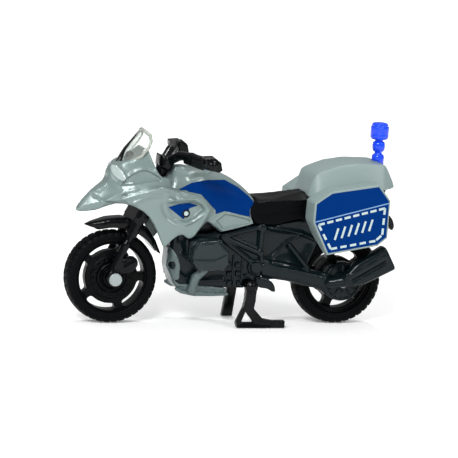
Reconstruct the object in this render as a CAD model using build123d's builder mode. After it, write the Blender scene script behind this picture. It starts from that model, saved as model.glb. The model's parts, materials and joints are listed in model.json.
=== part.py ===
from build123d import *
import os
from math import cos, radians, sin

# Pocket die-cast touring motorcycle with panniers, top case and beacon.
# Frame: +Z up, the motorcycle heads along -X, its left side faces -Y, millimetres.
# The origin lies on the ground, midway between the front tyre and the plate holder's tip.

# Overall sizes
wheelbase = 55.0
tyre_radius = 10.8
tail_reach = 13.6  # rear axle to the tip of the plate holder

# Wheels
tyre_width = 5.0
tyre_wall = 2.7  # from the rim's bead to the tread
rim_width = 3.4
rim_lip = 0.5
slot_depth = 1.9
spoke_width = 1.7
spoke_count = 5
hub_radius = 2.3
axle_radius = 0.75
axle_play = 0.05
rivet_head = 1.5
rivet_thick = 0.45

# Fork and steering
rake = 25.7
fork_lead = 1.55  # the fork line passes this far in front of the axle
leg_radius = 0.95
wheel_gap = 0.4  # tyre side to whatever straddles it
stem_radius = 1.1
stem_play = 0.06
crown_low = 15.2
crown_high = 18.6
crown_half = 4.4
crown_depth = 2.0
head_gap = 0.35
stem_reach = 2.0  # how far the stem goes up into the handlebar
seat_height = 25.8  # along the steering axis: the floor that the handlebar turns on
column_radius = 1.9
column_top = 30.6
bar_half = 16.0
bar_radius = 0.85

# Fender
fender_gap = 0.8
fender_skin = 1.4
beak_half = 1.6

# Body
body_inner = 5.0  # half the room between the side shrouds
shroud_out = 7.2
fairing_half = 5.4
tank_half = 6.0
notch_gap = 0.4

# Frame
frame_half = 4.6
tube_half = 5.6
arm_half = 5.7
barrel_out = 7.6
hub_boss = 1.9  # round boss over the frame's rivet
cover_out = 11.0

# Luggage
case_half = 8.2
pannier_in = 5.5
pannier_out = 12.2

# Beacon
lamp_radius = 2.15
lamp_stem = 1.5
lamp_neck = 0.95
beacon_x = 63.6

# Stand
pivot_x = 32.1
pivot_z = 9.8
bar_pivot = 1.1
bar_boss = 1.4
pivot_play = 0.06
leg_in = 5.9
leg_out = 7.9

rim_radius = tyre_radius - tyre_wall
slot_outer = rim_radius - rim_lip
slot_inner = slot_outer - slot_depth
length = tyre_radius + wheelbase + tail_reach
front_x = tyre_radius - length / 2
rear_x = front_x + wheelbase
axle_z = tyre_radius

# The outlines are drawn x behind the front axle and z above the ground, for these two sizes.
# A longer wheelbase stretches the middle, and bigger wheels lift all that they carry.
drawn_wheelbase = 55.0
drawn_axle = 10.8
nose_end = 12.5
tail_start = 44.0


def at(x, z):
    """A point of the side view in the part's frame."""
    span = tail_start - nose_end
    middle = min(max(x - nose_end, 0), span)
    stretch = (wheelbase - drawn_wheelbase) * middle / span
    return (front_x + x + stretch, z + axle_z - drawn_axle)


def slab(points, y_low, y_high):
    """A side-view outline made solid between two values of Y."""
    with BuildPart() as piece:
        with BuildSketch(Plane.XZ.offset(-y_high)):
            with BuildLine():
                Polyline(*[at(x, z) for x, z in points], close=True)
            make_face()
        extrude(amount=y_high - y_low)
    return piece.part


def two_sided(points, y_in, y_out):
    """The same outline on both sides of the motorcycle."""
    return [slab(points, -y_out, -y_in), slab(points, y_in, y_out)]


def skirted(points, y_in, y_out, draft):
    """An outline on both sides that narrows outwards by the draft angle."""
    sides = []
    for side in (-1, 1):
        with BuildPart() as piece:
            with BuildSketch(Plane.XZ.offset(-side * y_in)):
                with BuildLine():
                    Polyline(*[at(x, z) for x, z in points], close=True)
                make_face()
            extrude(amount=-side * (y_out - y_in), taper=draft)
        sides.append(piece.part)
    return sides


def rod(start, end, radius):
    """A round bar between two points, with round ends."""
    with BuildPart() as piece:
        run = Vector(*end) - Vector(*start)
        with Locations(Plane(origin=start, z_dir=run)):
            Cylinder(radius, run.length, align=(Align.CENTER, Align.CENTER, Align.MIN))
        with Locations(start, end):
            Sphere(radius)
    return piece.part


def pin(x, z, y_low, y_high, radius):
    """A round bar across the motorcycle."""
    with BuildPart() as piece:
        with BuildSketch(Plane.XZ.offset(-y_high)):
            with Locations(at(x, z)):
                Circle(radius)
        extrude(amount=y_high - y_low)
    return piece.part


def across(x, z):
    """The plane square to the axle through a point of the side view."""
    px, pz = at(x, z)
    return Plane(origin=(px, 0, pz), x_dir=(1, 0, 0), z_dir=(0, -1, 0))


lean = (sin(radians(rake)), 0, cos(radians(rake)))
square = (cos(radians(rake)), 0, -sin(radians(rake)))
steering = Plane(origin=(front_x - fork_lead, 0, axle_z), x_dir=square, z_dir=lean)
front_hub = Plane(origin=(front_x, 0, axle_z), x_dir=(1, 0, 0), z_dir=(0, -1, 0))
rear_hub = Plane(origin=(rear_x, 0, axle_z), x_dir=(1, 0, 0), z_dir=(0, -1, 0))
leg_y = tyre_width / 2 + wheel_gap + leg_radius
boss_in = tyre_width / 2 + wheel_gap + 0.1
fork_out = leg_y + leg_radius + 0.1


# ---------------------------------------------------------------- wheels
def tyre(hub):
    """A tyre ring with a round crown and shoulders."""
    half = tyre_width / 2
    shoulder = tyre_radius - 0.5
    with BuildPart() as piece:
        with BuildSketch(Plane(origin=hub.origin, x_dir=(0, 1, 0), z_dir=(1, 0, 0))):
            with BuildLine():
                Polyline(
                    (-half, shoulder),
                    (-half, rim_radius + 0.5),
                    (-rim_width / 2, rim_radius),
                    (rim_width / 2, rim_radius),
                    (half, rim_radius + 0.5),
                    (half, shoulder),
                )
                ThreePointArc((half, shoulder), (0, tyre_radius), (-half, shoulder))
            make_face()
        revolve(axis=Axis(hub.origin, (0, 1, 0)))
    return piece.part


def rim(hub, disc_share, spoke_angle):
    """A slotted wheel centre with raised brake discs and a running bore."""
    with BuildPart() as piece:
        with BuildSketch(hub.offset(-rim_width / 2)):
            Circle(rim_radius)
        extrude(amount=rim_width)
        with BuildSketch(hub.offset(-rim_width / 2)):
            Circle(slot_outer)
            Circle(slot_inner, mode=Mode.SUBTRACT)
            with PolarLocations((slot_outer + slot_inner) / 2, spoke_count, start_angle=spoke_angle):
                Rectangle(3 * (slot_outer - slot_inner), spoke_width, mode=Mode.SUBTRACT)
        extrude(amount=rim_width, mode=Mode.SUBTRACT)
        for face in (-1, 1):
            with BuildSketch(hub.offset(face * rim_width / 2)):
                Circle(slot_outer)
                Circle(disc_share * slot_inner, mode=Mode.SUBTRACT)
            extrude(amount=-face * 0.6, mode=Mode.SUBTRACT)
            with BuildSketch(hub.offset(face * rim_width / 2)):
                Circle(hub_radius)
            extrude(amount=face * (tyre_width - rim_width) / 2)
        with BuildSketch(hub.offset(-tyre_width / 2 - 1)):
            Circle(axle_radius + axle_play)
        extrude(amount=tyre_width + 2, mode=Mode.SUBTRACT)
    return piece.part


def axle(hub, reach):
    """A rivet with a flat head on each end."""
    with BuildPart() as piece:
        with BuildSketch(hub.offset(-reach - rivet_thick)):
            Circle(axle_radius)
        extrude(amount=2 * (reach + rivet_thick))
        for face in (-1, 1):
            with BuildSketch(hub.offset(face * reach)):
                Circle(rivet_head)
            extrude(amount=face * rivet_thick)
        fillet(piece.edges().group_by(Axis.Y)[0] + piece.edges().group_by(Axis.Y)[-1], 0.2)
    return piece.part


with BuildPart() as front_tyre:
    add(tyre(front_hub))
with BuildPart() as rear_tyre:
    add(tyre(rear_hub))
with BuildPart() as front_rim:
    add(rim(front_hub, 0.88, 0))
with BuildPart() as rear_rim:
    add(rim(rear_hub, 0.74, 36))
with BuildPart() as front_axle:
    add(axle(front_hub, fork_out))
with BuildPart() as rear_axle:
    add(axle(rear_hub, arm_half))

# ---------------------------------------------------------------- fender, fork and handlebar
fender_in = tyre_radius + fender_gap
fender_out = fender_in + fender_skin
fender_half = tyre_width / 2 + 0.35

with BuildPart() as front_fender:
    with BuildSketch(front_hub.offset(-fender_half)):
        Circle(fender_out)
        Circle(fender_in, mode=Mode.SUBTRACT)
        with BuildLine():
            Polyline((0, 0), (-fender_out, 1.8 * fender_out), (2 * fender_out, fender_out), close=True)
        make_face(mode=Mode.INTERSECT)
    extrude(amount=2 * fender_half)
    with BuildSketch(front_hub.offset(-beak_half)):
        with BuildLine():
            Polyline((-3.5, fender_in + 0.2), (-7.4, fender_out - 0.9), (-2.0, fender_out), close=True)
        make_face()
    extrude(amount=2 * beak_half)

with BuildPart() as fork:
    with BuildSketch(steering.offset(0.85 * fender_out)):
        RectangleRounded(2.4, 3.6, 0.5)
    extrude(amount=crown_low + 0.6 - 0.85 * fender_out)
    with BuildSketch(front_hub.offset(-fender_half)):
        Circle(fender_out)
    extrude(amount=2 * fender_half, mode=Mode.SUBTRACT)
    for side in (-1, 1):
        with BuildSketch(steering.offset(0.5)):
            with Locations((0, side * leg_y)):
                Circle(leg_radius)
        extrude(amount=crown_low + 1)
    for side in (-1, 1):
        with BuildSketch(front_hub.offset(side * boss_in)):
            Circle(2.2)
        extrude(amount=side * (fork_out - boss_in))
        with BuildSketch(front_hub.offset(side * (boss_in + 0.1))):
            with BuildLine():
                Polyline((0.4, 1.2), (3.6, 1.5), (5.0, 3.2), (4.6, 4.9), (3.0, 5.4), (0.8, 4.6), close=True)
            make_face()
        extrude(amount=side * 1.6)
    with BuildSketch(steering.offset(crown_low)):
        RectangleRounded(2 * crown_depth, 2 * crown_half, 1.2)
    extrude(amount=crown_high - crown_low)
    with BuildSketch(steering.offset(crown_high)):
        Circle(stem_radius)
    extrude(amount=seat_height + head_gap + stem_reach - crown_high)
    with BuildSketch(front_hub.offset(-fork_out - 1)):
        Circle(axle_radius)
    extrude(amount=2 * fork_out + 2, mode=Mode.SUBTRACT)

bar_x, bar_z = at(18.4, 39.6)
elbow_x, elbow_z = at(15.2, 38.9)
top = steering.from_local_coords((0, 0, column_top - 1.6))

with BuildPart() as handlebar:
    with BuildSketch(steering.offset(seat_height + head_gap)):
        Circle(column_radius)
    extrude(amount=column_top - seat_height - head_gap)
    chamfer(handlebar.edges().group_by(Axis.Z)[-1], 0.5)
    for side in (-1, 1):
        elbow = (elbow_x, side * 6.0, elbow_z)
        end = (bar_x, side * (bar_half - bar_radius), bar_z)
        with Locations((top.X, 0, top.Z)):
            Sphere(bar_radius)
        add(rod((top.X, side * 0.8, top.Z), elbow, bar_radius + 0.1))
        add(rod(elbow, end, bar_radius))
    grip = [(16.6, 40.6), (19.4, 40.7), (20.5, 39.5), (20.3, 37.9), (18.6, 37.7), (16.6, 38.8)]
    for guard in two_sided(grip, 10.6, bar_half):
        add(guard)
    with BuildSketch(steering.offset(seat_height + head_gap)):
        Circle(stem_radius)
    extrude(amount=stem_reach, mode=Mode.SUBTRACT)

# ---------------------------------------------------------------- body
fairing_side = [
    (-9.0, 26.1),
    (-7.6, 25.9),
    (-4.6, 26.3),
    (-2.3, 27.5),
    (0.4, 28.4),
    (3.0, 27.9),
    (9.4, 27.9),
    (12.0, 28.0),
    (12.0, 34.6),
    (9.4, 34.9),
    (7.6, 37.6),
    (6.3, 40.6),
    (4.3, 39.4),
    (1.0, 38.0),
    (-0.3, 37.3),
    (-2.05, 35.6),
    (-2.2, 33.6),
    (-4.1, 31.7),
    (-6.3, 30.3),
    (-8.6, 27.4),
]
fairing_plan = [
    (-9.2, 0.5),
    (-6.0, 1.9),
    (-2.4, 3.0),
    (0.5, 4.6),
    (3.0, fairing_half),
    (12.5, fairing_half),
]
tank_side = [
    (9.0, 28.0),
    (13.5, 25.0),
    (21.1, 24.4),
    (24.4, 22.2),
    (32.6, 24.1),
    (30.8, 27.6),
    (33.2, 29.4),
    (29.1, 32.9),
    (26.4, 34.8),
    (21.0, 36.0),
    (15.3, 36.9),
    (12.9, 36.4),
    (11.8, 34.6),
    (9.0, 34.2),
]
shroud_side = [
    (-1.8, 29.2),
    (1.5, 28.4),
    (3.4, 27.8),
    (6.4, 26.3),
    (8.6, 23.2),
    (10.8, 18.6),
    (11.5, 19.0),
    (13.7, 21.4),
    (15.2, 21.8),
    (16.8, 20.6),
    (22.2, 27.4),
    (18.8, 30.3),
    (13.0, 31.8),
    (8.0, 32.6),
    (1.6, 30.8),
]


def fairing():
    """The beak and cockpit: the side view cut to its plan view."""
    plan = [(front_x + x, y) for x, y in fairing_plan]
    mirrored = [(x, -y) for x, y in reversed(plan)]
    with BuildPart() as piece:
        with BuildSketch(Plane.XZ.offset(-shroud_out)):
            with BuildLine():
                Polyline(*[at(x, z) for x, z in fairing_side], close=True)
            make_face()
        extrude(amount=2 * shroud_out)
        with BuildSketch(Plane.XY):
            with BuildLine():
                Polyline(*plan, *mirrored, close=True)
            make_face()
        extrude(amount=3 * tyre_radius + 20, mode=Mode.INTERSECT)
    return piece.part


lens_side = [(-3.5, 33.9), (1.6, 33.9), (1.6, 36.4), (-0.6, 37.9), (-3.5, 37.9)]
lens_half = 3.4
lens_block = slab(lens_side, -lens_half, lens_half)

with BuildPart() as headlight_lens:
    add(fairing())
    add(lens_block, mode=Mode.INTERSECT)

spine = [(15.0, 20.0), (31.0, 20.0), (31.0, 26.4), (28.0, 29.5), (17.0, 30.0), (15.0, 28.0)]
spine_half = 3.0
engine_bay = [(9, 10), (24.4, 10), (24.4, 22.2), (21.1, 24.4), (12.5, 25.6), (9, 25.6)]

with BuildPart() as upper_body:
    add(fairing())
    add(skirted(tank_side, 0, tank_half, 12))
    add(skirted(shroud_side, body_inner, shroud_out, 25))
    add(lens_block, mode=Mode.SUBTRACT)
    # pocket over the fork crown, notch round the handlebar column and the stem's bore
    with BuildSketch(steering.offset(crown_high + head_gap - 12)):
        Rectangle(2 * crown_depth + 2.6, 2 * body_inner)
    extrude(amount=12, mode=Mode.SUBTRACT)
    with BuildSketch(steering.offset(seat_height)):
        Circle(column_radius + notch_gap)
    extrude(amount=12, mode=Mode.SUBTRACT)
    with BuildSketch(steering.offset(seat_height)):
        with Locations((-1.6, 0)):
            Rectangle(4.4, 2 * fairing_half - 2.6)
    extrude(amount=12, mode=Mode.SUBTRACT)
    with BuildSketch(steering.offset(crown_high)):
        Circle(stem_radius + stem_play)
    extrude(amount=seat_height - crown_high + 1, mode=Mode.SUBTRACT)
    # room inside for the frame's spine
    add(slab(spine, -spine_half, spine_half), mode=Mode.SUBTRACT)
    add(slab(engine_bay, -body_inner, body_inner), mode=Mode.SUBTRACT)

screen_rake = 37.5
screen_radius = 6.0
screen_skin = 0.6
screen_x, screen_z = at(-0.1, 37.2)
screen_base = Plane(
    origin=(screen_x, 0, screen_z),
    x_dir=(cos(radians(screen_rake)), 0, -sin(radians(screen_rake))),
    z_dir=(sin(radians(screen_rake)), 0, cos(radians(screen_rake))),
)
screen_front = [(0, 36.2), (2.6, 36.4), (4.6, 39.0), (4.9, 41.5), (4.3, 43.6), (3.0, 44.9), (1.4, 45.4), (0, 45.5)]

with BuildPart() as windshield:
    with BuildSketch(screen_base):
        with Locations((screen_radius, 0)):
            Circle(screen_radius)
            Circle(screen_radius - screen_skin, mode=Mode.SUBTRACT)
        with Locations((screen_radius / 2, 0)):
            Rectangle(screen_radius, 2 * screen_radius, mode=Mode.INTERSECT)
    extrude(amount=12)
    lift = axle_z - drawn_axle
    edge = [(y, z + lift) for y, z in screen_front]
    with BuildSketch(Plane.YZ.offset(front_x - 5)):
        with BuildLine():
            Polyline(*edge, *[(-y, z) for y, z in reversed(edge[1:-1])], close=True)
        make_face()
    extrude(amount=20, mode=Mode.INTERSECT)
    add(upper_body.part, mode=Mode.SUBTRACT)
    add(headlight_lens.part, mode=Mode.SUBTRACT)

# ---------------------------------------------------------------- seat
seat_side = [
    (32.7, 24.3),
    (38.2, 23.9),
    (43.3, 25.4),
    (46.0, 25.4),
    (46.5, 31.4),
    (44.7, 31.4),
    (37.6, 30.0),
    (33.4, 29.4),
    (30.9, 27.6),
]

with BuildPart() as seat:
    add(skirted(seat_side, 0, 5.4, 6))
    add(upper_body.part, mode=Mode.SUBTRACT)

# ---------------------------------------------------------------- frame
engine_side = [
    (12.4, 18.6),
    (12.2, 13.7),
    (13.7, 10.9),
    (15.2, 9.6),
    (28.0, 9.0),
    (34.0, 9.0),
    (34.6, 12.0),
    (34.6, 21.5),
    (31.0, 21.7),
    (24.2, 21.8),
    (21.0, 23.9),
    (14.5, 23.9),
    (13.3, 20.8),
]
rear_side = [
    (30.0, 19.0),
    (33.5, 13.0),
    (41.0, 14.2),
    (46.0, 15.5),
    (49.5, 22.0),
    (44.5, 25.0),
    (38.2, 23.5),
    (30.5, 23.2),
]
arm_side = [
    (35.6, 15.5),
    (39.2, 15.4),
    (48.8, 13.0),
    (51.0, 14.0),
    (56.0, 14.2),
    (58.6, 11.5),
    (57.6, 8.0),
    (54.8, 6.6),
    (51.6, 7.6),
    (49.3, 8.9),
    (46.2, 9.5),
    (39.7, 11.1),
    (35.6, 11.2),
]
lever_side = [(34.4, 11.6), (38.0, 10.2), (38.7, 8.2), (36.4, 8.5), (34.4, 9.4)]
trellis = [
    [(25.2, 21.1), (34.5, 23.2)],
    [(25.2, 21.1), (33.2, 14.6)],
    [(34.5, 23.2), (34.4, 14.6)],
    [(34.6, 15.0), (43.6, 21.6)],
    [(41.5, 19.2), (46.4, 13.8)],
]
hub_x = 33.4
hub_z = 14.0
pipe_radius = 0.75
barrel = [(17.2, 20.0), (24.0, 20.6), (25.6, 16.6), (24.6, 13.6), (18.6, 13.4), (16.9, 16.4)]
cover = [(18.0, 19.2), (21.9, 20.2), (25.3, 16.8), (24.5, 14.2), (19.0, 14.2), (17.2, 16.6), (17.3, 18.9)]


def frame_half_of(side):
    """One moulded half of the frame: engine side, trellis, subframe and swinging arm."""
    def band(y_in, y_out):
        return (min(side * y_in, side * y_out), max(side * y_in, side * y_out))

    with BuildPart() as piece:
        add(slab(engine_side, *band(0, frame_half)))
        add(slab(spine, *band(0, spine_half - 0.05)))
        add(slab(rear_side, *band(0, frame_half - 0.6)))
        add(slab(arm_side, *band(tyre_width / 2 + wheel_gap, arm_half)))
        add(slab(lever_side, *band(frame_half - 1, tube_half)))
        add(slab(barrel, *band(frame_half, barrel_out)))
        for start, end in trellis:
            ends = [at(*start), at(*end)]
            y = side * (tube_half - pipe_radius)
            add(rod((ends[0][0], y, ends[0][1]), (ends[1][0], y, ends[1][1]), pipe_radius))
        with BuildSketch(across(hub_x, hub_z).offset(-side * (frame_half - 1))):
            Circle(hub_boss)
        extrude(amount=-side * (tube_half - frame_half + 1))
        # room for the rear wheel, the rivet, the rear axle and the stand's bar
        with BuildSketch(rear_hub.offset(-tyre_width / 2 - wheel_gap)):
            Circle(tyre_radius + wheel_gap)
        extrude(amount=tyre_width + 2 * wheel_gap, mode=Mode.SUBTRACT)
        with BuildSketch(rear_hub.offset(-arm_half - 1)):
            Circle(axle_radius)
        extrude(amount=2 * arm_half + 2, mode=Mode.SUBTRACT)
        with BuildSketch(across(hub_x, hub_z).offset(-tube_half - 1)):
            Circle(axle_radius)
        extrude(amount=2 * tube_half + 2, mode=Mode.SUBTRACT)
        with BuildSketch(across(pivot_x, pivot_z).offset(-tube_half - 1)):
            Circle(bar_pivot + pivot_play)
        extrude(amount=2 * tube_half + 2, mode=Mode.SUBTRACT)
        add(upper_body.part, mode=Mode.SUBTRACT)
        add(seat.part, mode=Mode.SUBTRACT)
    return piece.part


with BuildPart() as frame_left:
    add(frame_half_of(-1))
with BuildPart() as frame_right:
    add(frame_half_of(1))

with BuildPart() as frame_rivet:
    with BuildSketch(across(hub_x, hub_z).offset(-tube_half - 0.3)):
        Circle(axle_radius)
    extrude(amount=2 * (tube_half + 0.3))
    for face in (-1, 1):
        with BuildSketch(across(hub_x, hub_z).offset(face * tube_half)):
            Circle(1.2)
        extrude(amount=face * 0.3)


def cylinder_cover(side):
    """The six-sided cover on the end of a cylinder."""
    with BuildPart() as piece:
        with BuildSketch(Plane.XZ.offset(-side * barrel_out)):
            with BuildLine():
                Polyline(*[at(x, z) for x, z in cover], close=True)
            make_face()
        extrude(amount=-side * (cover_out - barrel_out))
        outer = piece.faces().sort_by(Axis.Y)[0 if side < 0 else -1]
        chamfer(outer.edges(), 0.9)
    return piece.part


with BuildPart() as cylinder_cover_left:
    add(cylinder_cover(-1))
with BuildPart() as cylinder_cover_right:
    add(cylinder_cover(1))

skid_side = [(12.8, 10.2), (14.9, 8.1), (19.0, 7.0), (26.3, 7.2), (28.4, 8.7), (28.0, 9.0), (15.2, 9.6), (13.7, 10.9)]
with BuildPart() as skid_plate:
    add(slab(skid_side, -4.5, 4.5))


def header(side):
    """The exhaust pipe from the cylinder's front down to the belly."""
    with BuildPart() as piece:
        top_x, top_z = at(20.4, 13.3)
        low_x, low_z = at(18.0, 9.6)
        add(rod((top_x, side * 6.0, top_z), (low_x, side * 5.4, low_z), 0.75))
        add(frame_half_of(side), mode=Mode.SUBTRACT)
        add(skid_plate.part, mode=Mode.SUBTRACT)
    return piece.part


with BuildPart() as exhaust_header_left:
    add(header(-1))
with BuildPart() as exhaust_header_right:
    add(header(1))

# ---------------------------------------------------------------- muffler
muffler_y = 7.9
muffler_tilt = 28.0
muffler_length = 12.4
muffler_x, muffler_z = at(65.4, 16.7)
muffler_end = Plane(
    origin=(muffler_x, -muffler_y, muffler_z),
    x_dir=(-sin(radians(muffler_tilt)), 0, cos(radians(muffler_tilt))),
    z_dir=(cos(radians(muffler_tilt)), 0, sin(radians(muffler_tilt))),
)

with BuildPart() as muffler:
    with BuildSketch(muffler_end):
        RectangleRounded(5.4, 3.6, 1.5)
    with BuildSketch(muffler_end.offset(-muffler_length)):
        RectangleRounded(3.4, 3.0, 1.2)
    loft()
    with BuildSketch(muffler_end.offset(-0.6)):
        RectangleRounded(4.4, 2.4, 1.0)
    extrude(amount=0.7, mode=Mode.SUBTRACT)
    front = muffler_end.from_local_coords((0, 0, -muffler_length + 1))
    link_x, link_z = at(51.5, 11.0)
    add(rod((front.X, -muffler_y, front.Z), (link_x, -arm_half - 1.0, link_z), 1.2))
    add(frame_left.part, mode=Mode.SUBTRACT)
    add(rear_axle.part, mode=Mode.SUBTRACT)

# ---------------------------------------------------------------- tail, rack and luggage
rack_side = [(46.0, 25.4), (44.5, 25.0), (49.5, 22.2), (52.0, 24.6), (62.0, 26.2), (64.0, 31.9), (46.8, 31.9)]
tip_x = drawn_wheelbase + tail_reach
tail_side = [
    (62.0, 26.2),
    (tip_x - 2.0, 26.4),
    (tip_x - 0.5, 25.0),
    (tip_x, 23.0),
    (tip_x - 0.7, 22.2),
    (tip_x - 2.0, 24.0),
    (60.0, 23.6),
    (58.0, 25.5),
]

with BuildPart() as rear_rack:
    add(slab(rack_side, -pannier_in, pannier_in))
    add(seat.part, mode=Mode.SUBTRACT)
    add(frame_left.part, mode=Mode.SUBTRACT)
    add(frame_right.part, mode=Mode.SUBTRACT)

with BuildPart() as plate_holder:
    add(slab(tail_side, -2.4, 2.4))
    add(rear_rack.part, mode=Mode.SUBTRACT)

case_side = [
    (45.2, 31.9),
    (64.5, 31.9),
    (66.1, 33.4),
    (63.6, 38.8),
    (56.7, 38.9),
    (51.9, 38.2),
    (46.9, 36.4),
    (45.6, 34.0),
]
pannier_side = [
    (44.6, 30.6),
    (48.4, 33.2),
    (59.8, 34.9),
    (62.9, 31.4),
    (63.3, 26.4),
    (62.5, 22.3),
    (60.3, 20.5),
    (48.3, 18.3),
    (44.5, 25.8),
]

with BuildPart() as top_case:
    add(skirted(case_side, 0, case_half, 8))
    for luggage in two_sided(pannier_side, pannier_in, pannier_out):
        add(luggage, mode=Mode.SUBTRACT)


def pannier(side):
    """One side case with its outer edges bevelled."""
    with BuildPart() as piece:
        with BuildSketch(Plane.XZ.offset(-side * pannier_in)):
            with BuildLine():
                Polyline(*[at(x, z) for x, z in pannier_side], close=True)
            make_face()
        extrude(amount=-side * (pannier_out - pannier_in))
        outer = piece.faces().sort_by(Axis.Y)[0 if side < 0 else -1]
        chamfer(outer.edges(), 0.5)
    return piece.part


with BuildPart() as pannier_left:
    add(pannier(-1))
with BuildPart() as pannier_right:
    add(pannier(1))

beacon_foot = at(beacon_x, 37.8)[1]
beacon_steps = [(lamp_stem, 2.6), (lamp_neck, 0.4), (lamp_stem, 2.0), (lamp_neck, 0.6), (lamp_radius, 4.4)]

with BuildPart() as beacon:
    level = beacon_foot
    for radius, height in beacon_steps:
        with BuildSketch(Plane.XY.offset(level)):
            with Locations((at(beacon_x, 0)[0], 0)):
                Circle(radius)
        extrude(amount=height)
        level += height
    fillet(beacon.edges().group_by(Axis.Z)[-1], 0.6)
    add(top_case.part, mode=Mode.SUBTRACT)

# ---------------------------------------------------------------- stand
near_leg = [
    (30.8, pivot_z),
    (30.6, 5.0),
    (28.9, 1.2),
    (29.2, 0),
    (33.4, 0),
    (33.8, 0.15),
    (40.4, 0.15),
    (40.5, 1.5),
    (36.9, 1.8),
    (35.0, 2.3),
    (32.5, 4.7),
    (33.4, pivot_z),
]
far_leg = [(30.9, pivot_z), (29.7, 0), (32.2, 0), (33.4, pivot_z)]
gusset = [(31.0, 3.7), (30.2, 1.5), (32.9, 1.5)]


def stand_leg(points, y_low, y_high):
    """A leg whose foot stays on the ground whatever the wheels' size."""
    lift = axle_z - drawn_axle
    with BuildPart() as piece:
        with BuildSketch(Plane.XZ.offset(-y_high)):
            with BuildLine():
                Polyline(*[(at(x, z)[0], z + lift * z / pivot_z) for x, z in points], close=True)
            make_face()
        extrude(amount=y_high - y_low)
    return piece.part


with BuildPart() as stand:
    add(stand_leg(near_leg, -leg_out, -leg_in))
    add(stand_leg(gusset, -leg_out, -leg_in), mode=Mode.SUBTRACT)
    add(stand_leg(far_leg, leg_in, leg_out))
    add(pin(pivot_x, pivot_z, -leg_out, leg_out, bar_pivot))
    for low, high in ((-leg_out, -leg_in), (leg_in, leg_out)):
        add(pin(pivot_x, pivot_z, low, high, bar_boss))

# ---------------------------------------------------------------- write the parts
pieces = {
    "front_tyre": front_tyre,
    "front_rim": front_rim,
    "front_axle": front_axle,
    "front_fender": front_fender,
    "fork": fork,
    "handlebar": handlebar,
    "upper_body": upper_body,
    "headlight_lens": headlight_lens,
    "windshield": windshield,
    "seat": seat,
    "frame_left": frame_left,
    "frame_right": frame_right,
    "frame_rivet": frame_rivet,
    "cylinder_cover_left": cylinder_cover_left,
    "cylinder_cover_right": cylinder_cover_right,
    "skid_plate": skid_plate,
    "exhaust_header_left": exhaust_header_left,
    "exhaust_header_right": exhaust_header_right,
    "muffler": muffler,
    "rear_rack": rear_rack,
    "plate_holder": plate_holder,
    "top_case": top_case,
    "pannier_left": pannier_left,
    "pannier_right": pannier_right,
    "beacon": beacon,
    "stand": stand,
    "rear_tyre": rear_tyre,
    "rear_rim": rear_rim,
    "rear_axle": rear_axle,
}
os.makedirs("parts", exist_ok=True)
for name, piece in pieces.items():
    piece.part.label = name
    export_step(piece.part, f"parts/{name}.step")
    print(name, len(piece.part.solids()), round(piece.part.volume, 2))
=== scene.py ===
import functools
import json
import math

import bmesh
import bpy
import numpy as np
import openvdb
from mathutils import Matrix, Vector


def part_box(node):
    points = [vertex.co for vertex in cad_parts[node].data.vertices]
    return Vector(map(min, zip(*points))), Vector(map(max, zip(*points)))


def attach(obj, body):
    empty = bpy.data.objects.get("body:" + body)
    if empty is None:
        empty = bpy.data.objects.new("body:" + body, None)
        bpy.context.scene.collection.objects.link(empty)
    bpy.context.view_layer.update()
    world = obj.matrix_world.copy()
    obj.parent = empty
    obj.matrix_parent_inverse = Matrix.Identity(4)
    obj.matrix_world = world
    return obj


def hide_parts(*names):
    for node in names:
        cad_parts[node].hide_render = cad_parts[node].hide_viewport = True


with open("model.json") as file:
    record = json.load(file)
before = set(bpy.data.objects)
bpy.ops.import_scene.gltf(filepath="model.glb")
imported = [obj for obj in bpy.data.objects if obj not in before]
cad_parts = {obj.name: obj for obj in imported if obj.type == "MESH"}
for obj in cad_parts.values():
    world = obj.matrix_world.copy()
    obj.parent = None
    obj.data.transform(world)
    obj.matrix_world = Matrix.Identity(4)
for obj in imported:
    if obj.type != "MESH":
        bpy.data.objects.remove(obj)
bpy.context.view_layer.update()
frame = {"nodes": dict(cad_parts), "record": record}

MM = 0.001
nodes = frame["nodes"]

# The side view: x behind the front axle and z above the ground, in millimetres.
front_low, front_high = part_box("front_tyre")
AXLE_X = (front_low[0] + front_high[0]) / 2 / MM
AXLE_Z = (front_low[2] + front_high[2]) / 2 / MM
TYRE_RADIUS = AXLE_Z
rear_low, rear_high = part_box("rear_tyre")
REAR_X = (rear_low[0] + rear_high[0]) / 2 / MM - AXLE_X


# ---- materials
def put(node, values):
    """Sets a shader node's sockets by name."""
    for socket, value in values.items():
        node.inputs[socket].default_value = value


def wire(tree, start, out, end, into):
    """Links one node's output to another's input."""
    tree.links.new(start.outputs[out], end.inputs[into])


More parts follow.
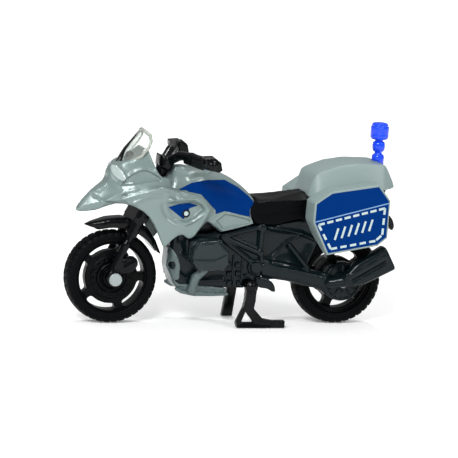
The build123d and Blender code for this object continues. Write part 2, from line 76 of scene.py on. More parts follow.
def material(name, colour, rough, metal=0, coat=0, shine=0.5, specks=0.06, grain=900, bump=0.05,
             spread=0.08):
    """A painted or moulded surface with uneven colour, broad and fine, uneven gloss and a fine bump."""
    mat = bpy.data.materials.new(name)
    mat.use_nodes = True
    tree = mat.node_tree
    shader = tree.nodes["Principled BSDF"]
    put(shader, {"Metallic": metal, "Specular IOR Level": shine, "Coat Weight": coat,
                 "Coat Roughness": 0.14})
    place = tree.nodes.new("ShaderNodeTexCoord")
    broad = tree.nodes.new("ShaderNodeTexNoise")
    put(broad, {"Scale": 140, "Detail": 3.0})
    fine = tree.nodes.new("ShaderNodeTexNoise")
    put(fine, {"Scale": grain, "Detail": 4.0})
    tint = tree.nodes.new("ShaderNodeMix")
    tint.data_type = "RGBA"
    darker = [c * (1 - specks) for c in colour]
    lighter = [min(1, c * (1 + specks)) for c in colour]
    put(tint, {"A": (*darker, 1), "B": (*lighter, 1)})
    gloss = tree.nodes.new("ShaderNodeMapRange")
    put(gloss, {"To Min": max(0.02, rough - spread), "To Max": rough + spread})
    relief = tree.nodes.new("ShaderNodeBump")
    put(relief, {"Strength": bump, "Distance": 0.00005})
    wire(tree, place, "Object", broad, "Vector")
    wire(tree, place, "Object", fine, "Vector")
    wire(tree, broad, "Fac", tint, "Factor")
    wire(tree, tint, "Result", shader, "Base Color")
    wire(tree, fine, "Fac", gloss, "Value")
    wire(tree, gloss, "Result", shader, "Roughness")
    wire(tree, fine, "Fac", relief, "Height")
    wire(tree, relief, "Normal", shader, "Normal")
    return mat


def see_through(mat, amount, ior):
    """Lets light through a moulded plastic."""
    put(mat.node_tree.nodes["Principled BSDF"], {"Transmission Weight": amount, "IOR": ior})


silver_paint = material("silver_paint", (0.160, 0.214, 0.205), 0.33, metal=0.2, coat=0.15, specks=0.04,
                        bump=0.012, spread=0.03)
silver_plastic = material("silver_plastic", (0.198, 0.258, 0.252), 0.42, coat=0.03, shine=0.35, specks=0.03,
                          bump=0.04, spread=0.04)
silver_touch = material("silver_touch", (0.072, 0.104, 0.106), 0.28, metal=0.2, coat=0.2, bump=0.03,
                        spread=0.04)
black_plastic = material("black_plastic", (0.0008, 0.0012, 0.0017), 0.19, shine=0.16, bump=0.03, spread=0.04)
seat_plastic = material("seat_plastic", (0.0008, 0.0010, 0.0014), 0.34, shine=0.05, bump=0.12, grain=1400,
                        spread=0.05)
dark_plastic = material("dark_plastic", (0.0030, 0.0068, 0.0086), 0.17, shine=0.18, bump=0.03, specks=0.12,
                        spread=0.04)
cover_plastic = material("cover_plastic", (0.010, 0.0175, 0.0200), 0.16, shine=0.26, bump=0.02, specks=0.06,
                         spread=0.03)
rubber = material("tyre_rubber", (0.0010, 0.0013, 0.0017), 0.50, shine=0.06, bump=0.2, grain=1600)
wheel_plastic = material("wheel_plastic", (0.0008, 0.0011, 0.0016), 0.32, shine=0.08, bump=0.05, spread=0.05)
steel = material("rivet_steel", (0.30, 0.34, 0.34), 0.36, metal=0.4, bump=0.03)
blue_print = material("blue_print", (0, 0.0225, 0.132), 0.36, shine=0.02, specks=0.03, bump=0.02,
                      spread=0.03)
pale_print = material("pale_print", (0.40, 0.50, 0.50), 0.40, shine=0.2, specks=0.03, bump=0.02)
line_print = material("line_print", (0.15, 0.27, 0.46), 0.40, shine=0.2, specks=0.03, bump=0.02)
lens_white = material("lens_white", (0.34, 0.41, 0.395), 0.16, coat=0.6, specks=0.03, bump=0.02)
clear = material("clear_plastic", (0.92, 0.96, 0.93), 0.05, specks=0.02, bump=0, spread=0.02)
see_through(clear, 0.92, 1.40)
# The screen's bead: a partly clear plastic whose whitish tint is a painted highlight along the screen's
# edge.
edge_clear_painted_highlight = material("edge_plastic_painted_highlight", (0.52, 0.56, 0.50), 0.12, specks=0.05, bump=0.02, spread=0.03)
see_through(edge_clear_painted_highlight, 0.45, 1.45)
blue_clear = material("blue_plastic", (0.008, 0.075, 0.93), 0.12, specks=0.05, bump=0, spread=0.04)
see_through(blue_clear, 0.35, 1.45)

SHADES = {
    "silver_paint": silver_paint,
    "silver_plastic": silver_plastic,
    "black_plastic": black_plastic,
    "dark_plastic": dark_plastic,
    "tyre_rubber": rubber,
    "rivet_steel": steel,
    "clear_plastic": clear,
    "blue_plastic": blue_clear,
}
for row in frame["record"]["subparts"]:
    mesh = nodes[row["node"]].data
    mesh.materials.clear()
    mesh.materials.append(SHADES[row["material_slot"]])
nodes["frame_rivet"].data.materials[0] = dark_plastic

# ---- camera, light and floor
AZIMUTH, ELEVATION, DISTANCE = math.radians(-18), math.radians(9.7), 0.700
ROLL = math.radians(3.75)
AIM = Vector(((AXLE_X + 28.06) * MM, 0, 22.0 * MM))
back = Vector(
    (math.sin(AZIMUTH) * math.cos(ELEVATION), -math.cos(AZIMUTH) * math.cos(ELEVATION), math.sin(ELEVATION))
)
camera = bpy.data.objects.new("camera", bpy.data.cameras.new("camera"))
bpy.context.collection.objects.link(camera)
camera.data.lens = 236.7
camera.data.clip_start = 0.01
turn = back.to_track_quat("Z", "Y").to_matrix() @ Matrix.Rotation(ROLL, 3, "Z")
camera.matrix_world = Matrix.Translation(AIM + back * DISTANCE) @ turn.to_4x4()
bpy.context.scene.camera = camera
bpy.context.scene.view_settings.view_transform = "Standard"


def lamp(name, place, size, watts):
    """A soft square light that faces the motorcycle."""
    data = bpy.data.lights.new(name, "AREA")
    data.size = size
    data.energy = watts
    light = bpy.data.objects.new(name, data)
    bpy.context.collection.objects.link(light)
    light.location = Vector(place)
    light.rotation_euler = (Vector(place) - AIM).to_track_quat("Z", "Y").to_euler()


lamp("key", (-0.36, -0.53, 0.50), 0.28, 5.5)
lamp("strip", (0.40, -0.52, 0.42), 0.16, 1.4)
lamp("rim", (0.10, 0.24, 0.72), 0.10, 2.2)

# A grey sky that is brighter overhead lights the toy, and the camera sees a plain white one.
world = bpy.data.worlds.new("world")
world.use_nodes = True
sky = world.node_tree
background = sky.nodes["Background"]
way = sky.nodes.new("ShaderNodeTexCoord")
split = sky.nodes.new("ShaderNodeSeparateXYZ")
shade = sky.nodes.new("ShaderNodeMapRange")
put(shade, {"From Min": -0.05, "From Max": 0.75, "To Min": 0.19, "To Max": 0.48})
sight = sky.nodes.new("ShaderNodeLightPath")
paper = sky.nodes.new("ShaderNodeMix")
put(paper, {"B": 0.97})
wire(sky, way, "Generated", split, "Vector")
wire(sky, split, "Z", shade, "Value")
wire(sky, shade, "Result", paper, "A")
wire(sky, sight, "Is Camera Ray", paper, "Factor")
wire(sky, paper, "Result", background, "Strength")
put(background, {"Color": (1, 1, 1, 1)})
bpy.context.scene.world = world

floor_mesh = bpy.data.meshes.new("floor")
floor_form = bmesh.new()
bmesh.ops.create_grid(floor_form, x_segments=8, y_segments=8, size=1.2)
floor_form.to_mesh(floor_mesh)
floor_form.free()
floor = bpy.data.objects.new("floor", floor_mesh)
bpy.context.collection.objects.link(floor)
card = material("floor_card", (0.93, 0.93, 0.93), 0.8, specks=0.01, bump=0.02)
# The card glows a little more where the lamps' light falls off, so that it stays plain white.
glow = card.node_tree
card_shader = glow.nodes["Principled BSDF"]
put(card_shader, {"Emission Color": (1, 1, 1, 1)})
middle = glow.nodes.new("ShaderNodeTexCoord")
nearness = glow.nodes.new("ShaderNodeTexGradient")
nearness.gradient_type = "SPHERICAL"
lift = glow.nodes.new("ShaderNodeMapRange")
put(lift, {"From Min": 0.15, "From Max": 0.80, "To Min": 0.55, "To Max": 0.16})
wire(glow, middle, "Object", nearness, "Vector")
wire(glow, nearness, "Fac", lift, "Value")
wire(glow, lift, "Result", card_shader, "Emission Strength")
floor_mesh.materials.append(card)


# ---- solid modelling by distance fields
STEP = 0.12


class Space:
    """The sample points round a piece, in millimetres: x behind the front axle, y to the right, z up."""

    def __init__(self, low, high, step=STEP):
        self.low, self.step = np.array(low, dtype=np.float32), step
        sides = [np.arange(a, b + step, step, dtype=np.float32) for a, b in zip(low, high)]
        self.x = sides[0][:, None, None]
        self.y = sides[1][None, :, None]
        self.z = sides[2][None, None, :]


def join(a, b, r=0):
    """The union of two shapes, blended over r."""
    if r <= 0:
        return np.minimum(a, b)
    h = np.maximum(r - abs(a - b), 0) / r
    return np.minimum(a, b) - h * h * r / 4


def meet(a, b, r=0):
    """What two shapes share, with its edges rounded over r."""
    return -join(-a, -b, r)


def cut(a, b, r=0):
    """Shape a without shape b."""
    return meet(a, -b, r)


def overlap(*shapes):
    """What several shapes share, with sharp edges."""
    return functools.reduce(np.maximum, shapes)


def soft(points):
    """A closed outline with its corners rounded off; a corner given twice stays tight."""
    p = np.array(points, dtype=float)
    q = np.roll(p, -1, 0)
    return np.stack([0.75 * p + 0.25 * q, 0.25 * p + 0.75 * q], 1).reshape(-1, 2)


def outline(s, points):
    """Distance to a closed side-view outline, below zero inside."""
    best, inside = None, None
    p = np.array(points, dtype=np.float32)
    for (ax, az), (bx, bz) in zip(p, np.roll(p, -1, 0)):
        ex, ez = bx - ax, bz - az
        size = ex * ex + ez * ez
        if size < 1e-9:
            continue
        wx, wz = s.x - ax, s.z - az
        t = np.clip((wx * ex + wz * ez) / size, 0, 1)
        d = (wx - ex * t) ** 2 + (wz - ez * t) ** 2
        best = d if best is None else np.minimum(best, d)
        slant = wx * ez < ex * wz if ez > 0 else wx * ez > ex * wz
        crossed = ((az > s.z) != (bz > s.z)) & slant
        inside = crossed if inside is None else inside ^ crossed
    return np.where(inside, -1, 1) * np.sqrt(best)


def stroke(s, points):
    """Distance to an open line in the side view."""
    best = None
    for (ax, az), (bx, bz) in zip(points[:-1], points[1:]):
        ex, ez = bx - ax, bz - az
        wx, wz = s.x - ax, s.z - az
        t = np.clip((wx * ex + wz * ez) / (ex * ex + ez * ez), 0, 1)
        d = (wx - ex * t) ** 2 + (wz - ez * t) ** 2
        best = d if best is None else np.minimum(best, d)
    return np.sqrt(best)


def rod(s, a, b, ra, rb=None):
    """A round bar between two points, which may taper."""
    rb = ra if rb is None else rb
    a, b = np.array(a, dtype=np.float32), np.array(b, dtype=np.float32)
    e = b - a
    t = np.clip(((s.x - a[0]) * e[0] + (s.y - a[1]) * e[1] + (s.z - a[2]) * e[2]) / (e @ e), 0, 1)
    gap = (s.x - a[0] - e[0] * t) ** 2 + (s.y - a[1] - e[1] * t) ** 2 + (s.z - a[2] - e[2] * t) ** 2
    return np.sqrt(gap) - (ra + (rb - ra) * t)


def away(s, x, z):
    """Distance in the side view from a point."""
    return np.sqrt((s.x - x) ** 2 + (s.z - z) ** 2)


def ridge(distance, height, width):
    """How far a rounded bead stands up over a line."""
    return height * np.exp(-((distance / width) ** 2))


def slab(s, points, width, r=0):
    """A side-view outline, as thick as a second shape lets it be."""
    return meet(outline(s, points), width, r)


def bead(s, points, height, width):
    """How far a bead stands up over a line of the side view."""
    return ridge(stroke(s, points), height, width)


def along(s, table):
    """A value read off a short list of (x, value) pairs."""
    xs, values = zip(*table)
    return np.interp(s.x, xs, values).astype(np.float32)


def near(low, high, value):
    """A smooth step from 0 at low to 1 at high."""
    t = np.clip((value - low) / (high - low), 0, 1)
    return t * t * (3 - 2 * t)


def mesh_object(name, points, faces, mat, body):
    """A smooth-shaded object from points in millimetres that rides on a CAD body."""
    mesh = bpy.data.meshes.new(name)
    mesh.from_pydata((np.array(points) + (AXLE_X, 0, 0)) * MM, [], faces)
    mesh.validate()
    mesh.polygons.foreach_set("use_smooth", [True] * len(mesh.polygons))
    mesh.materials.append(mat)
    piece = bpy.data.objects.new(name, mesh)
    bpy.context.collection.objects.link(piece)
    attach(piece, body)
    return piece


def label(piece, node=None):
    """Hides the CAD node, if one is given, that a piece takes the place of."""
    if node:
        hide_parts(node)


def without_crumbs(points, faces):
    """Drops the loose specks that thin shapes leave, under a fiftieth of the whole."""
    links = np.array([(f[i - 1], f[i]) for f in faces for i in range(len(f))])
    mark = np.arange(len(points))
    while True:
        low = np.minimum(mark[links[:, 0]], mark[links[:, 1]])
        fresh = mark.copy()
        np.minimum.at(fresh, links[:, 0], low)
        np.minimum.at(fresh, links[:, 1], low)
        fresh = fresh[fresh]
        if (fresh == mark).all():
            break
        mark = fresh
    where, counts = np.unique(mark, return_inverse=True, return_counts=True)[1:]
    keep = (counts >= len(points) / 50)[where]
    place = np.cumsum(keep) - 1
    return points[keep], [tuple(int(place[i]) for i in f) for f in faces if keep[f[0]]]


def solid(name, s, field, mat, body, node=None, thin=0.12, mirror=False):
    """Meshes a distance field's skin and puts it in the scene."""
    size = np.broadcast_shapes(field.shape, s.x.shape, s.y.shape, s.z.shape)
    block = np.clip(np.broadcast_to(field, size), -1, 1)
    grid = openvdb.FloatGrid(1.0)
    grid.copyFromArray(np.ascontiguousarray(block / s.step, dtype=np.float32))
    points, thirds, quads = grid.convertToPolygons(isovalue=0.0, adaptivity=thin)
    points = points * s.step + s.low
    faces = [tuple(f[::-1]) for f in thirds.tolist()] + [tuple(f[::-1]) for f in quads.tolist()]
    points, faces = without_crumbs(points, faces)
    if mirror:
        points = points * (1, -1, 1)
        faces = [f[::-1] for f in faces]
    label(mesh_object(name, points, faces, mat, body), node)


def build(name, low, high, coarse, form, mat, node=None, slot=None, body="motorcycle"):
    """Samples a form in a box and meshes it; one that ends in _left is made again on the right."""
    s = Space(low, high, STEP * coarse)
    field = form(s)
    slot = slot or mat.name.split(".")[0]
    solid(name, s, field, mat, body, node)
    if name.endswith("_left"):
        name, node = name.replace("_left", "_right"), node.replace("_left", "_right")
        solid(name, s, field, mat, body, node, mirror=True)


def ring_faces(rings, size, closed=True):
    """The faces between neighbouring rings of points, of which the last meets the first."""
    faces = []
    for i in range(rings):
        for k in range(size if closed else size - 1):
            a, b = i * size + k, i * size + (k + 1) % size
            c, d = (i + 1) % rings * size + (k + 1) % size, (i + 1) % rings * size + k
            faces.append((a, b, c, d))
    return faces


# ---- body
FAIRING_SIDE = [
    (-9.1, 26.2), (-8.6, 25.8), (-7, 25.9), (-4.6, 26.3), (-2.3, 27.5), (0.4, 28.4), (3, 27.9), (12, 27.9),
    (12, 34.4), (9.5, 34.7), (8.6, 35.9), (7.6, 37.6), (6.6, 40.2), (6.2, 41), (5.4, 40.3), (3.6, 38.9),
    (1, 38), (-0.4, 37.5), (-1.6, 36.6), (-2.2, 35.2), (-2.3, 33.6), (-2.9, 32.8), (-4.1, 31.8),
    (-6.3, 30.2), (-8.2, 27.9),
]
TANK_SIDE = [
    (9, 28), (13.5, 25), (21.2, 24.5), (21.2, 24.5), (24.4, 22.2), (24.4, 22.2), (32.5, 24.1), (32.5, 24.1),
    (31.1, 27.6), (32.8, 29.2), (31.4, 31.3), (29.1, 33.1), (26.4, 34.8), (23.6, 35.6), (19, 36.4),
    (15.4, 37), (15.4, 37), (12.9, 36.5), (12.9, 36.5), (12.2, 34.5), (9, 34.3),
]
SHROUD_SIDE = [
    (-2.2, 29.2), (1.5, 28.5), (3.4, 27.9), (6.4, 26.3), (8.6, 23.2), (10.5, 19), (11, 18.5), (12.4, 20.2),
    (13.8, 21.4), (15.2, 21.7), (16.2, 20.7), (17.4, 20.8), (20, 24.4), (22.3, 27.3), (21, 29), (18.9, 30.7),
    (15.8, 31.3), (13, 32.2), (8, 32.9), (1.6, 30.9),
]
BEAK_CREASES = [
    [(-2.6, 29.1), (0.8, 31.1), (4.1, 31.9), (6.5, 32.4), (8.2, 32.3)],
    [(-2.9, 28.5), (-0.1, 29.3), (2.7, 30.2), (6.3, 31.4), (9.5, 32.3), (12, 31.9), (13.5, 30.8)],
    [(2.9, 28.6), (6.1, 30.4), (9.3, 30.9), (11.9, 29.9)],
]
BEAK_SLOT = [(-5.8, 30), (-3.5, 28.6), (-1.6, 28.3), (-0.6, 28.1)]
BROW = [(-5.9, 30.6), (-4.8, 31.7), (-2.8, 32.9), (-2.4, 31.9), (-3.9, 30.4)]
ARCH = [(-0.3, 32.2), (0.8, 34), (2.8, 35.6), (4.7, 36.5), (6, 36.5), (7.7, 35.7), (9.4, 34.8)]
SCOOP = ARCH + [(9.4, 33.8), (6, 33.4), (2.5, 32.6)]
RIM = [
    (10.6, 29.5), (13.1, 29.9), (15.5, 30.2), (17.4, 30.1), (19.2, 29.1), (20.7, 27.6), (19.6, 25.6),
    (18.4, 23.4), (17.4, 21.7),
]
TANK_RIDGES = [[(16, 35), (18, 35.7), (20.1, 35.8)], [(16.3, 34.2), (17.9, 34.7), (19.5, 35.1)]]
INNER_RIDGE = [(20.1, 27.3), (18.7, 26), (17.1, 24.8), (15.5, 24.2)]
CURL = [(9.7, 28.7), (10, 27.1), (11.1, 25.5), (13.1, 24.3)]
POCKET = [(10.4, 28.7), (16.8, 29.6), (18.8, 29), (19.9, 27.7), (17.6, 25.6), (15.4, 24.4), (12.2, 25)]
LOWER_PANEL = [(22.9, 24.9), (25, 26.6), (27.5, 26.2), (31.3, 25.2), (31.9, 24.4), (24.7, 22.9)]
LENS_SIDE = [(-1.7, 37), (-0.6, 36.9), (0.9, 35.2), (1.3, 34.2), (0.7, 33.5), (-0.8, 34.1), (-1.7, 35.4)]
BELLY = [(9, 10), (24.4, 10), (24.4, 22.2), (21.1, 24.4), (12.5, 25.6), (9, 25.6)]
RAKE = math.radians(25.7)
LEAD = 1.55
BODY_INNER = 5.0


def steer_frame(s):
    """How far along the steering axis a point lies, and how far behind it."""
    x, z = s.x + LEAD, s.z - AXLE_Z
    up = x * math.sin(RAKE) + z * math.cos(RAKE)
    across = x * math.cos(RAKE) - z * math.sin(RAKE)
    return up, across


def fairing_width(s):
    """Half the width of the beak and cockpit at each place of the side view."""
    crease = along(s, [(-9, 26.6), (-3.3, 28.8), (0.8, 30.9), (4.1, 31.8), (8, 32.4), (13, 32.4)])
    over = s.z - crease
    plan = along(s, [(-9.3, 0.4), (-8.4, 1.15), (-6, 2.1), (-2.4, 3.2), (0.5, 4.5), (3, 5.2), (8, 5.6),
                     (12.5, 5.7)])
    inward = along(s, [(-9, 0.50), (-4, 0.45), (0.5, 0.16), (3, 0.09), (9, 0.07)])
    under = along(s, [(-9, 0.4), (-3, 0.34), (3, 0.12)])
    width = plan - inward * np.maximum(over, 0) - under * np.maximum(-over, 0)
    width = width - 0.55 * near(0, 0.5, -outline(s, SCOOP)) + bead(s, ARCH, 0.32, 0.35)
    width = width - 0.30 * np.maximum(s.z - 38.4, 0)
    for line in BEAK_CREASES[:2]:
        width = width + bead(s, line, 0.48, 0.55)
    width = width - bead(s, BEAK_SLOT, 0.4, 0.22) + 0.3 * near(0, 0.35, -outline(s, BROW))
    housing = np.sqrt(((s.x + 0.7) / 2.2) ** 2 + ((s.z - 35) / 2.5) ** 2)
    width = width + 0.28 * near(1.25, 0.8, housing)
    return width - ridge(outline(s, LENS_SIDE) - 0.12, 0.35, 0.2)


def tank_width(s):
    """Half the width of the tank at each place of the side view."""
    top = along(s, [(9, 34.4), (12, 35), (12.9, 36.7), (15.4, 37.2), (21, 36.3), (26.4, 35), (29.1, 33.3),
                    (33.2, 29.8)])
    rise = np.clip((s.z - 27.5) / (top + 0.2 - 27.5), 0, 1)
    plan = along(s, [(9, 5.4), (13, 5.8), (20, 6.1), (28, 5.7), (31, 5.2), (33, 4.6)])
    width = plan * (1 - rise**3) ** 0.55
    panel = outline(s, LOWER_PANEL)
    width = width - 0.35 * near(0, 0.35, -panel) + ridge(panel - 0.25, 0.22, 0.28)
    for line in TANK_RIDGES:
        width = width + bead(s, line, 0.4, 0.45)
    return width


def shroud_width(s):
    """Half the width over the side shrouds at each place of the side view."""
    plan = along(s, [(-2.5, 3.7), (0.5, 4.8), (3, 5.6), (8, 6.4), (13, 6.85), (20, 7), (22.3, 6.7)])
    plan = plan - 0.07 * np.maximum(26.5 - s.z, 0)
    plan = plan - (0.25 + 0.75 * near(12, 17, s.x)) * near(0, 0.55, -outline(s, POCKET))
    plan = plan + bead(s, RIM, 0.6, 0.5) + bead(s, INNER_RIDGE, 0.34, 0.28)
    for line in BEAK_CREASES[1:]:
        plan = plan + bead(s, line, 0.48, 0.55)
    return plan - bead(s, CURL, 0.32, 0.28)


def upper_body_field(s):
    """The casting: beak and cockpit, tank and side shrouds, cut for the column, the fork and the engine."""
    ay = abs(s.y)
    fairing = slab(s, soft(FAIRING_SIDE), (ay - fairing_width(s)) * 0.85, 0.45)
    tank = slab(s, soft(TANK_SIDE), (ay - tank_width(s)) * 0.85, 0.6)
    shroud = slab(s, soft(SHROUD_SIDE), (ay - shroud_width(s)) * 0.85, 0.4)
    shroud = meet(shroud, BODY_INNER - ay, 0.2)
    shape = join(join(fairing, tank, 0.2), shroud, 0.2)
    for side in (-1, 1):
        shape = join(shape, rod(s, (13.4, side * 2.3, 36.5), (21.5, side * 2.9, 35.75), 0.32, 0.2), 0.35)
    up, across = steer_frame(s)
    around = np.sqrt(across**2 + s.y**2)
    shape = cut(shape, overlap(around - 2.4, 25.9 - up), 0.2)
    shape = cut(shape, overlap(around - 3.2, 28.0 - up), 0.2)
    shape = cut(shape, overlap(abs(across + 1.6) - 2.3, ay - 4.2, 26.0 - up), 0.4)
    shape = cut(shape, overlap(abs(across) - 3.2, ay - BODY_INNER, up - 18.95), 0.1)
    return cut(shape, slab(s, BELLY, ay - BODY_INNER), 0.1)


def lens_field(s):
    """The two lenses, which follow the beak's skin a hair outside it."""
    ay = abs(s.y)
    skin = slab(s, soft(FAIRING_SIDE), (ay - fairing_width(s)) * 0.85, 0.45)
    return meet(meet(skin - 0.12, outline(s, soft(LENS_SIDE)), 0.15), 0.9 - ay, 0.3)


build("upper_body_shell", (-10, -8, 17.8), (34.2, 8, 41.6), 1, upper_body_field, silver_paint, "upper_body")
build("headlight_lenses", (-3.4, -5.8, 33), (1.8, 5.8, 37.8), 0.7, lens_field, lens_white, "headlight_lens",
      slot="clear_plastic")

# ---- prints on the body
TANK_BLUE = [
    (13, 31.8), (16.7, 33.6), (20.6, 34.2), (25, 34.2), (28.3, 32.6), (30.9, 30.6), (32.4, 29), (31.1, 27.6),
    (31.3, 25.8), (24.8, 27.2), (22.6, 26.5), (22.6, 27.4), (18.9, 31), (15.8, 31.6), (15.4, 31.9),
]
SMALL_BLUE = [(11, 28.1), (13.6, 28.9), (16, 29.1), (18.3, 28.5), (16.3, 27.8), (15, 25.2)]
BADGE = (15.5, 26.6)
BADGE_RADIUS = 0.95
DISC_RADIUS = 0.55
INK = 0.08

print_space = Space((9.6, -7.8, 24.4), (33, -3, 35), STEP * 0.85)
print_skin = upper_body_field(print_space)
tank_shape = overlap(outline(print_space, TANK_BLUE), 0.05 - outline(print_space, soft(SHROUD_SIDE)))
badge_far = away(print_space, *BADGE)
print_rows = (
    ("tank_blue_", tank_shape, blue_print, 1),
    ("shroud_blue_", outline(print_space, SMALL_BLUE), blue_print, 1),
    ("badge_ring_", badge_far - BADGE_RADIUS, black_plastic, 2),
    ("badge_disc_", badge_far - DISC_RADIUS, pale_print, 3),
)
for hand in ("left", "right"):
    for name, shape, mat, layers in print_rows:
        film = overlap(print_skin - INK * layers, -print_skin - 0.35, shape)
        solid(name + hand, print_space, film, mat, "motorcycle", thin=0.02,
              mirror=hand == "right")

# ---- panniers and top case
PANNIER_SIDE = [
    (44.5, 30.4), (48.4, 33.1), (60, 34.9), (63, 31.2), (62.9, 22.4), (60.6, 20.5), (48.3, 18.2),
    (44.4, 25.8),
]
PANEL = [
    (44.95, 30.15), (48.65, 32.7), (59.85, 34.4), (62.6, 31.05), (62.5, 22.65), (60.4, 20.95),
    (48.55, 18.75), (44.85, 25.85),
]
DIVIDER = [(44.85, 26), (62.6, 30.6)]
DASHES = [(45.7, 25.35), (61.7, 29.45), (61.5, 23.2), (59.9, 21.75), (49.1, 19.75)]
CASE_SIDE = [
    (45, 30), (45.5, 33.4), (46.8, 36.5), (51.9, 38.3), (56.7, 39), (62.9, 38.9), (63.8, 38.2), (66.1, 33.7),
    (65.7, 33.1), (62, 32.9), (60, 31), (52, 30),
]
OUTER_Y = 12.1
MARK_HALF = 0.27
DASH, DASH_GAP = 1.5, 0.72


def plates(name, shapes, proud, mat, mirror):
    """Flat printed shapes with straight edges, standing a hair proud of a pannier's outer face."""
    points, faces = [], []
    for shape in shapes:
        turn_sum = sum(a[0] * b[1] - b[0] * a[1] for a, b in zip(shape, shape[1:] + shape[:1]))
        ring = list(shape) if turn_sum > 0 else list(reversed(shape))
        size, first = len(ring), len(points)
        points += [(x, -OUTER_Y - proud, z) for x, z in ring] + [(x, 0.1 - OUTER_Y, z) for x, z in ring]
        faces.append(tuple(range(first, first + size)))
        faces.append(tuple(range(first + 2 * size - 1, first + size - 1, -1)))
        for i in range(size):
            k = (i + 1) % size
            faces.append((first + k, first + i, first + size + i, first + size + k))
    if mirror:
        points = [(x, -y, z) for x, y, z in points]
        faces = [tuple(reversed(f)) for f in faces]
    piece = mesh_object(name, points, faces, mat, "motorcycle")
    piece.data.polygons.foreach_set("use_smooth", [False] * len(piece.data.polygons))
    label(piece)


def bar_shape(start, end, half, low=0, high=1):
    """A straight mark in the side view, over a share of the way between two points."""
    (ax, az), (bx, bz) = start, end
    wide, tall = bx - ax, bz - az
    run = math.hypot(wide, tall)
    nx, nz = -tall / run * half, wide / run * half
    ax, az, bx, bz = ax + wide * low, az + tall * low, ax + wide * high, az + tall * high
    return [(ax + nx, az + nz), (bx + nx, bz + nz), (bx - nx, bz - nz), (ax - nx, az - nz)]


def dash_marks():
    """White dashes round the lower field; a short side gets one that stops before its corners."""
    marks = []
    for start, end in zip(DASHES, DASHES[1:] + DASHES[:1]):
        run = math.dist(start, end)
        if run < 3:
            marks.append(bar_shape(start, end, MARK_HALF, 0.15, 0.85))
            continue
        count = round((run + DASH_GAP) / (DASH + DASH_GAP))
        pitch = (run - DASH) / (count - 1)
        for i in range(count):
            marks.append(bar_shape(start, end, MARK_HALF, i * pitch / run, (i * pitch + DASH) / run))
    return marks


def word_marks():
    """A row of plain slanted bars in the dashed field."""
    rows = [(1.65 * i, 0.43 * i) for i in range(6)]
    return [bar_shape((49.9 + x, 21.9 + z), (50.6 + x, 24.6 + z), 0.24) for x, z in rows]


def pannier_field(s):
    """The left pannier, narrower towards its keel."""
    ay = -s.y
    box = slab(s, PANNIER_SIDE, ay - OUTER_Y, 0.28)
    keel = (s.z - 18.2) * 0.64 + (OUTER_Y - ay) * -0.77 + 2.6
    box = meet(box, -keel, 0.8)
    return meet(box, 5.9 - ay, 0.5)


pannier_space = Space((43.4, -12.9, 17.2), (64.2, -5, 36), STEP * 1.15)
pannier_skin = pannier_field(pannier_space)
for hand in ("left", "right"):
    flip = hand == "right"
    shell, node = "pannier_shell_" + hand, "pannier_" + hand
    solid(shell, pannier_space, pannier_skin, silver_plastic, "motorcycle", node,
          mirror=flip)
    plates("pannier_blue_" + hand, [PANEL], 0.05, blue_print, flip)
    plates("pannier_dashes_" + hand, dash_marks(), 0.09, pale_print, flip)
    plates("pannier_bars_" + hand, word_marks(), 0.09, pale_print, flip)
    plates("pannier_line_" + hand, [bar_shape(*DIVIDER, 0.13)], 0.09, line_print, flip)


def case_field(s):
    """The top case: a crowned lid whose sides widen downwards."""
    ay = abs(s.y)
    top = along(s, [(45, 33), (46.9, 36.6), (51.9, 38.3), (56.7, 39), (63, 38.9), (66, 33.6)])
    drop = np.maximum(top - s.z, 0)
    plan = along(s, [(44.8, 4.4), (46, 5.2), (50, 5.7), (60, 6.1), (66.2, 5.9)])
    width = plan + 0.36 * np.clip(drop - 0.3, 0, 7.5)
    box = slab(s, soft(CASE_SIDE), (ay - width) * 0.94, 0.3)
    crown = along(s, [(44, 36.2), (46.9, 36.5), (51.9, 38.3), (56.7, 39.05), (63, 38.95), (66, 38.6)])
    return meet(box, s.z - crown + 0.0105 * ay**2, 0.25)


build("top_case_shell", (44.2, -9.8, 29.4), (66.8, 9.8, 39.6), 1.2, case_field, silver_plastic, "top_case")

# ---- wheels
TYRE_PROFILE = [
    (-1.7, 8.12), (-2.1, 8.22), (-2.32, 8.45), (-2.36, 8.75), (-2.30, 8.85), (-2.44, 9), (-2.5, 9.4),
    (-2.5, 9.75), (-2.42, 10), (-2.34, 10.06), (-2.30, 10.2), (-2.16, 10.42), (-1.95, 10.52), (-1.5, 10.66),
    (-1, 10.74), (-0.72, 10.77), (-0.66, 10.55), (-0.52, 10.55), (-0.46, 10.79), (0, 10.8),
]
TYRE_PROFILE = TYRE_PROFILE + [(-y, r) for y, r in reversed(TYRE_PROFILE[:-1])]
TREAD_BLOCKS = 36
TYRE_STEPS = 360


def tread_depth(angle, y, r):
    """Slanted gaps between the tread blocks, from the shoulder to the middle groove."""
    if r < 9.98:
        return 0.0
    phase = (angle * TREAD_BLOCKS / (2 * math.pi) + 0.22 * abs(y)) % 1.0
    depth = 0.34 if abs(y) > 1.2 else 0.16
    return depth * min(1, max(0, (0.15 - abs(phase - 0.5)) / 0.05))


def tread_tyre(place, centre_x, body):
    """A tyre turned from its profile round an axle across the motorcycle."""
    points = []
    for i in range(TYRE_STEPS):
        angle = 2 * math.pi * i / TYRE_STEPS
        for y, r in TYRE_PROFILE:
            r = r - tread_depth(angle, y, r)
            points.append((centre_x + r * math.cos(angle), y, AXLE_Z + r * math.sin(angle)))
    faces = [f[::-1] for f in ring_faces(TYRE_STEPS, len(TYRE_PROFILE))]
    label(mesh_object(place + "_tread_tyre", points, faces, rubber, body), place + "_tyre")


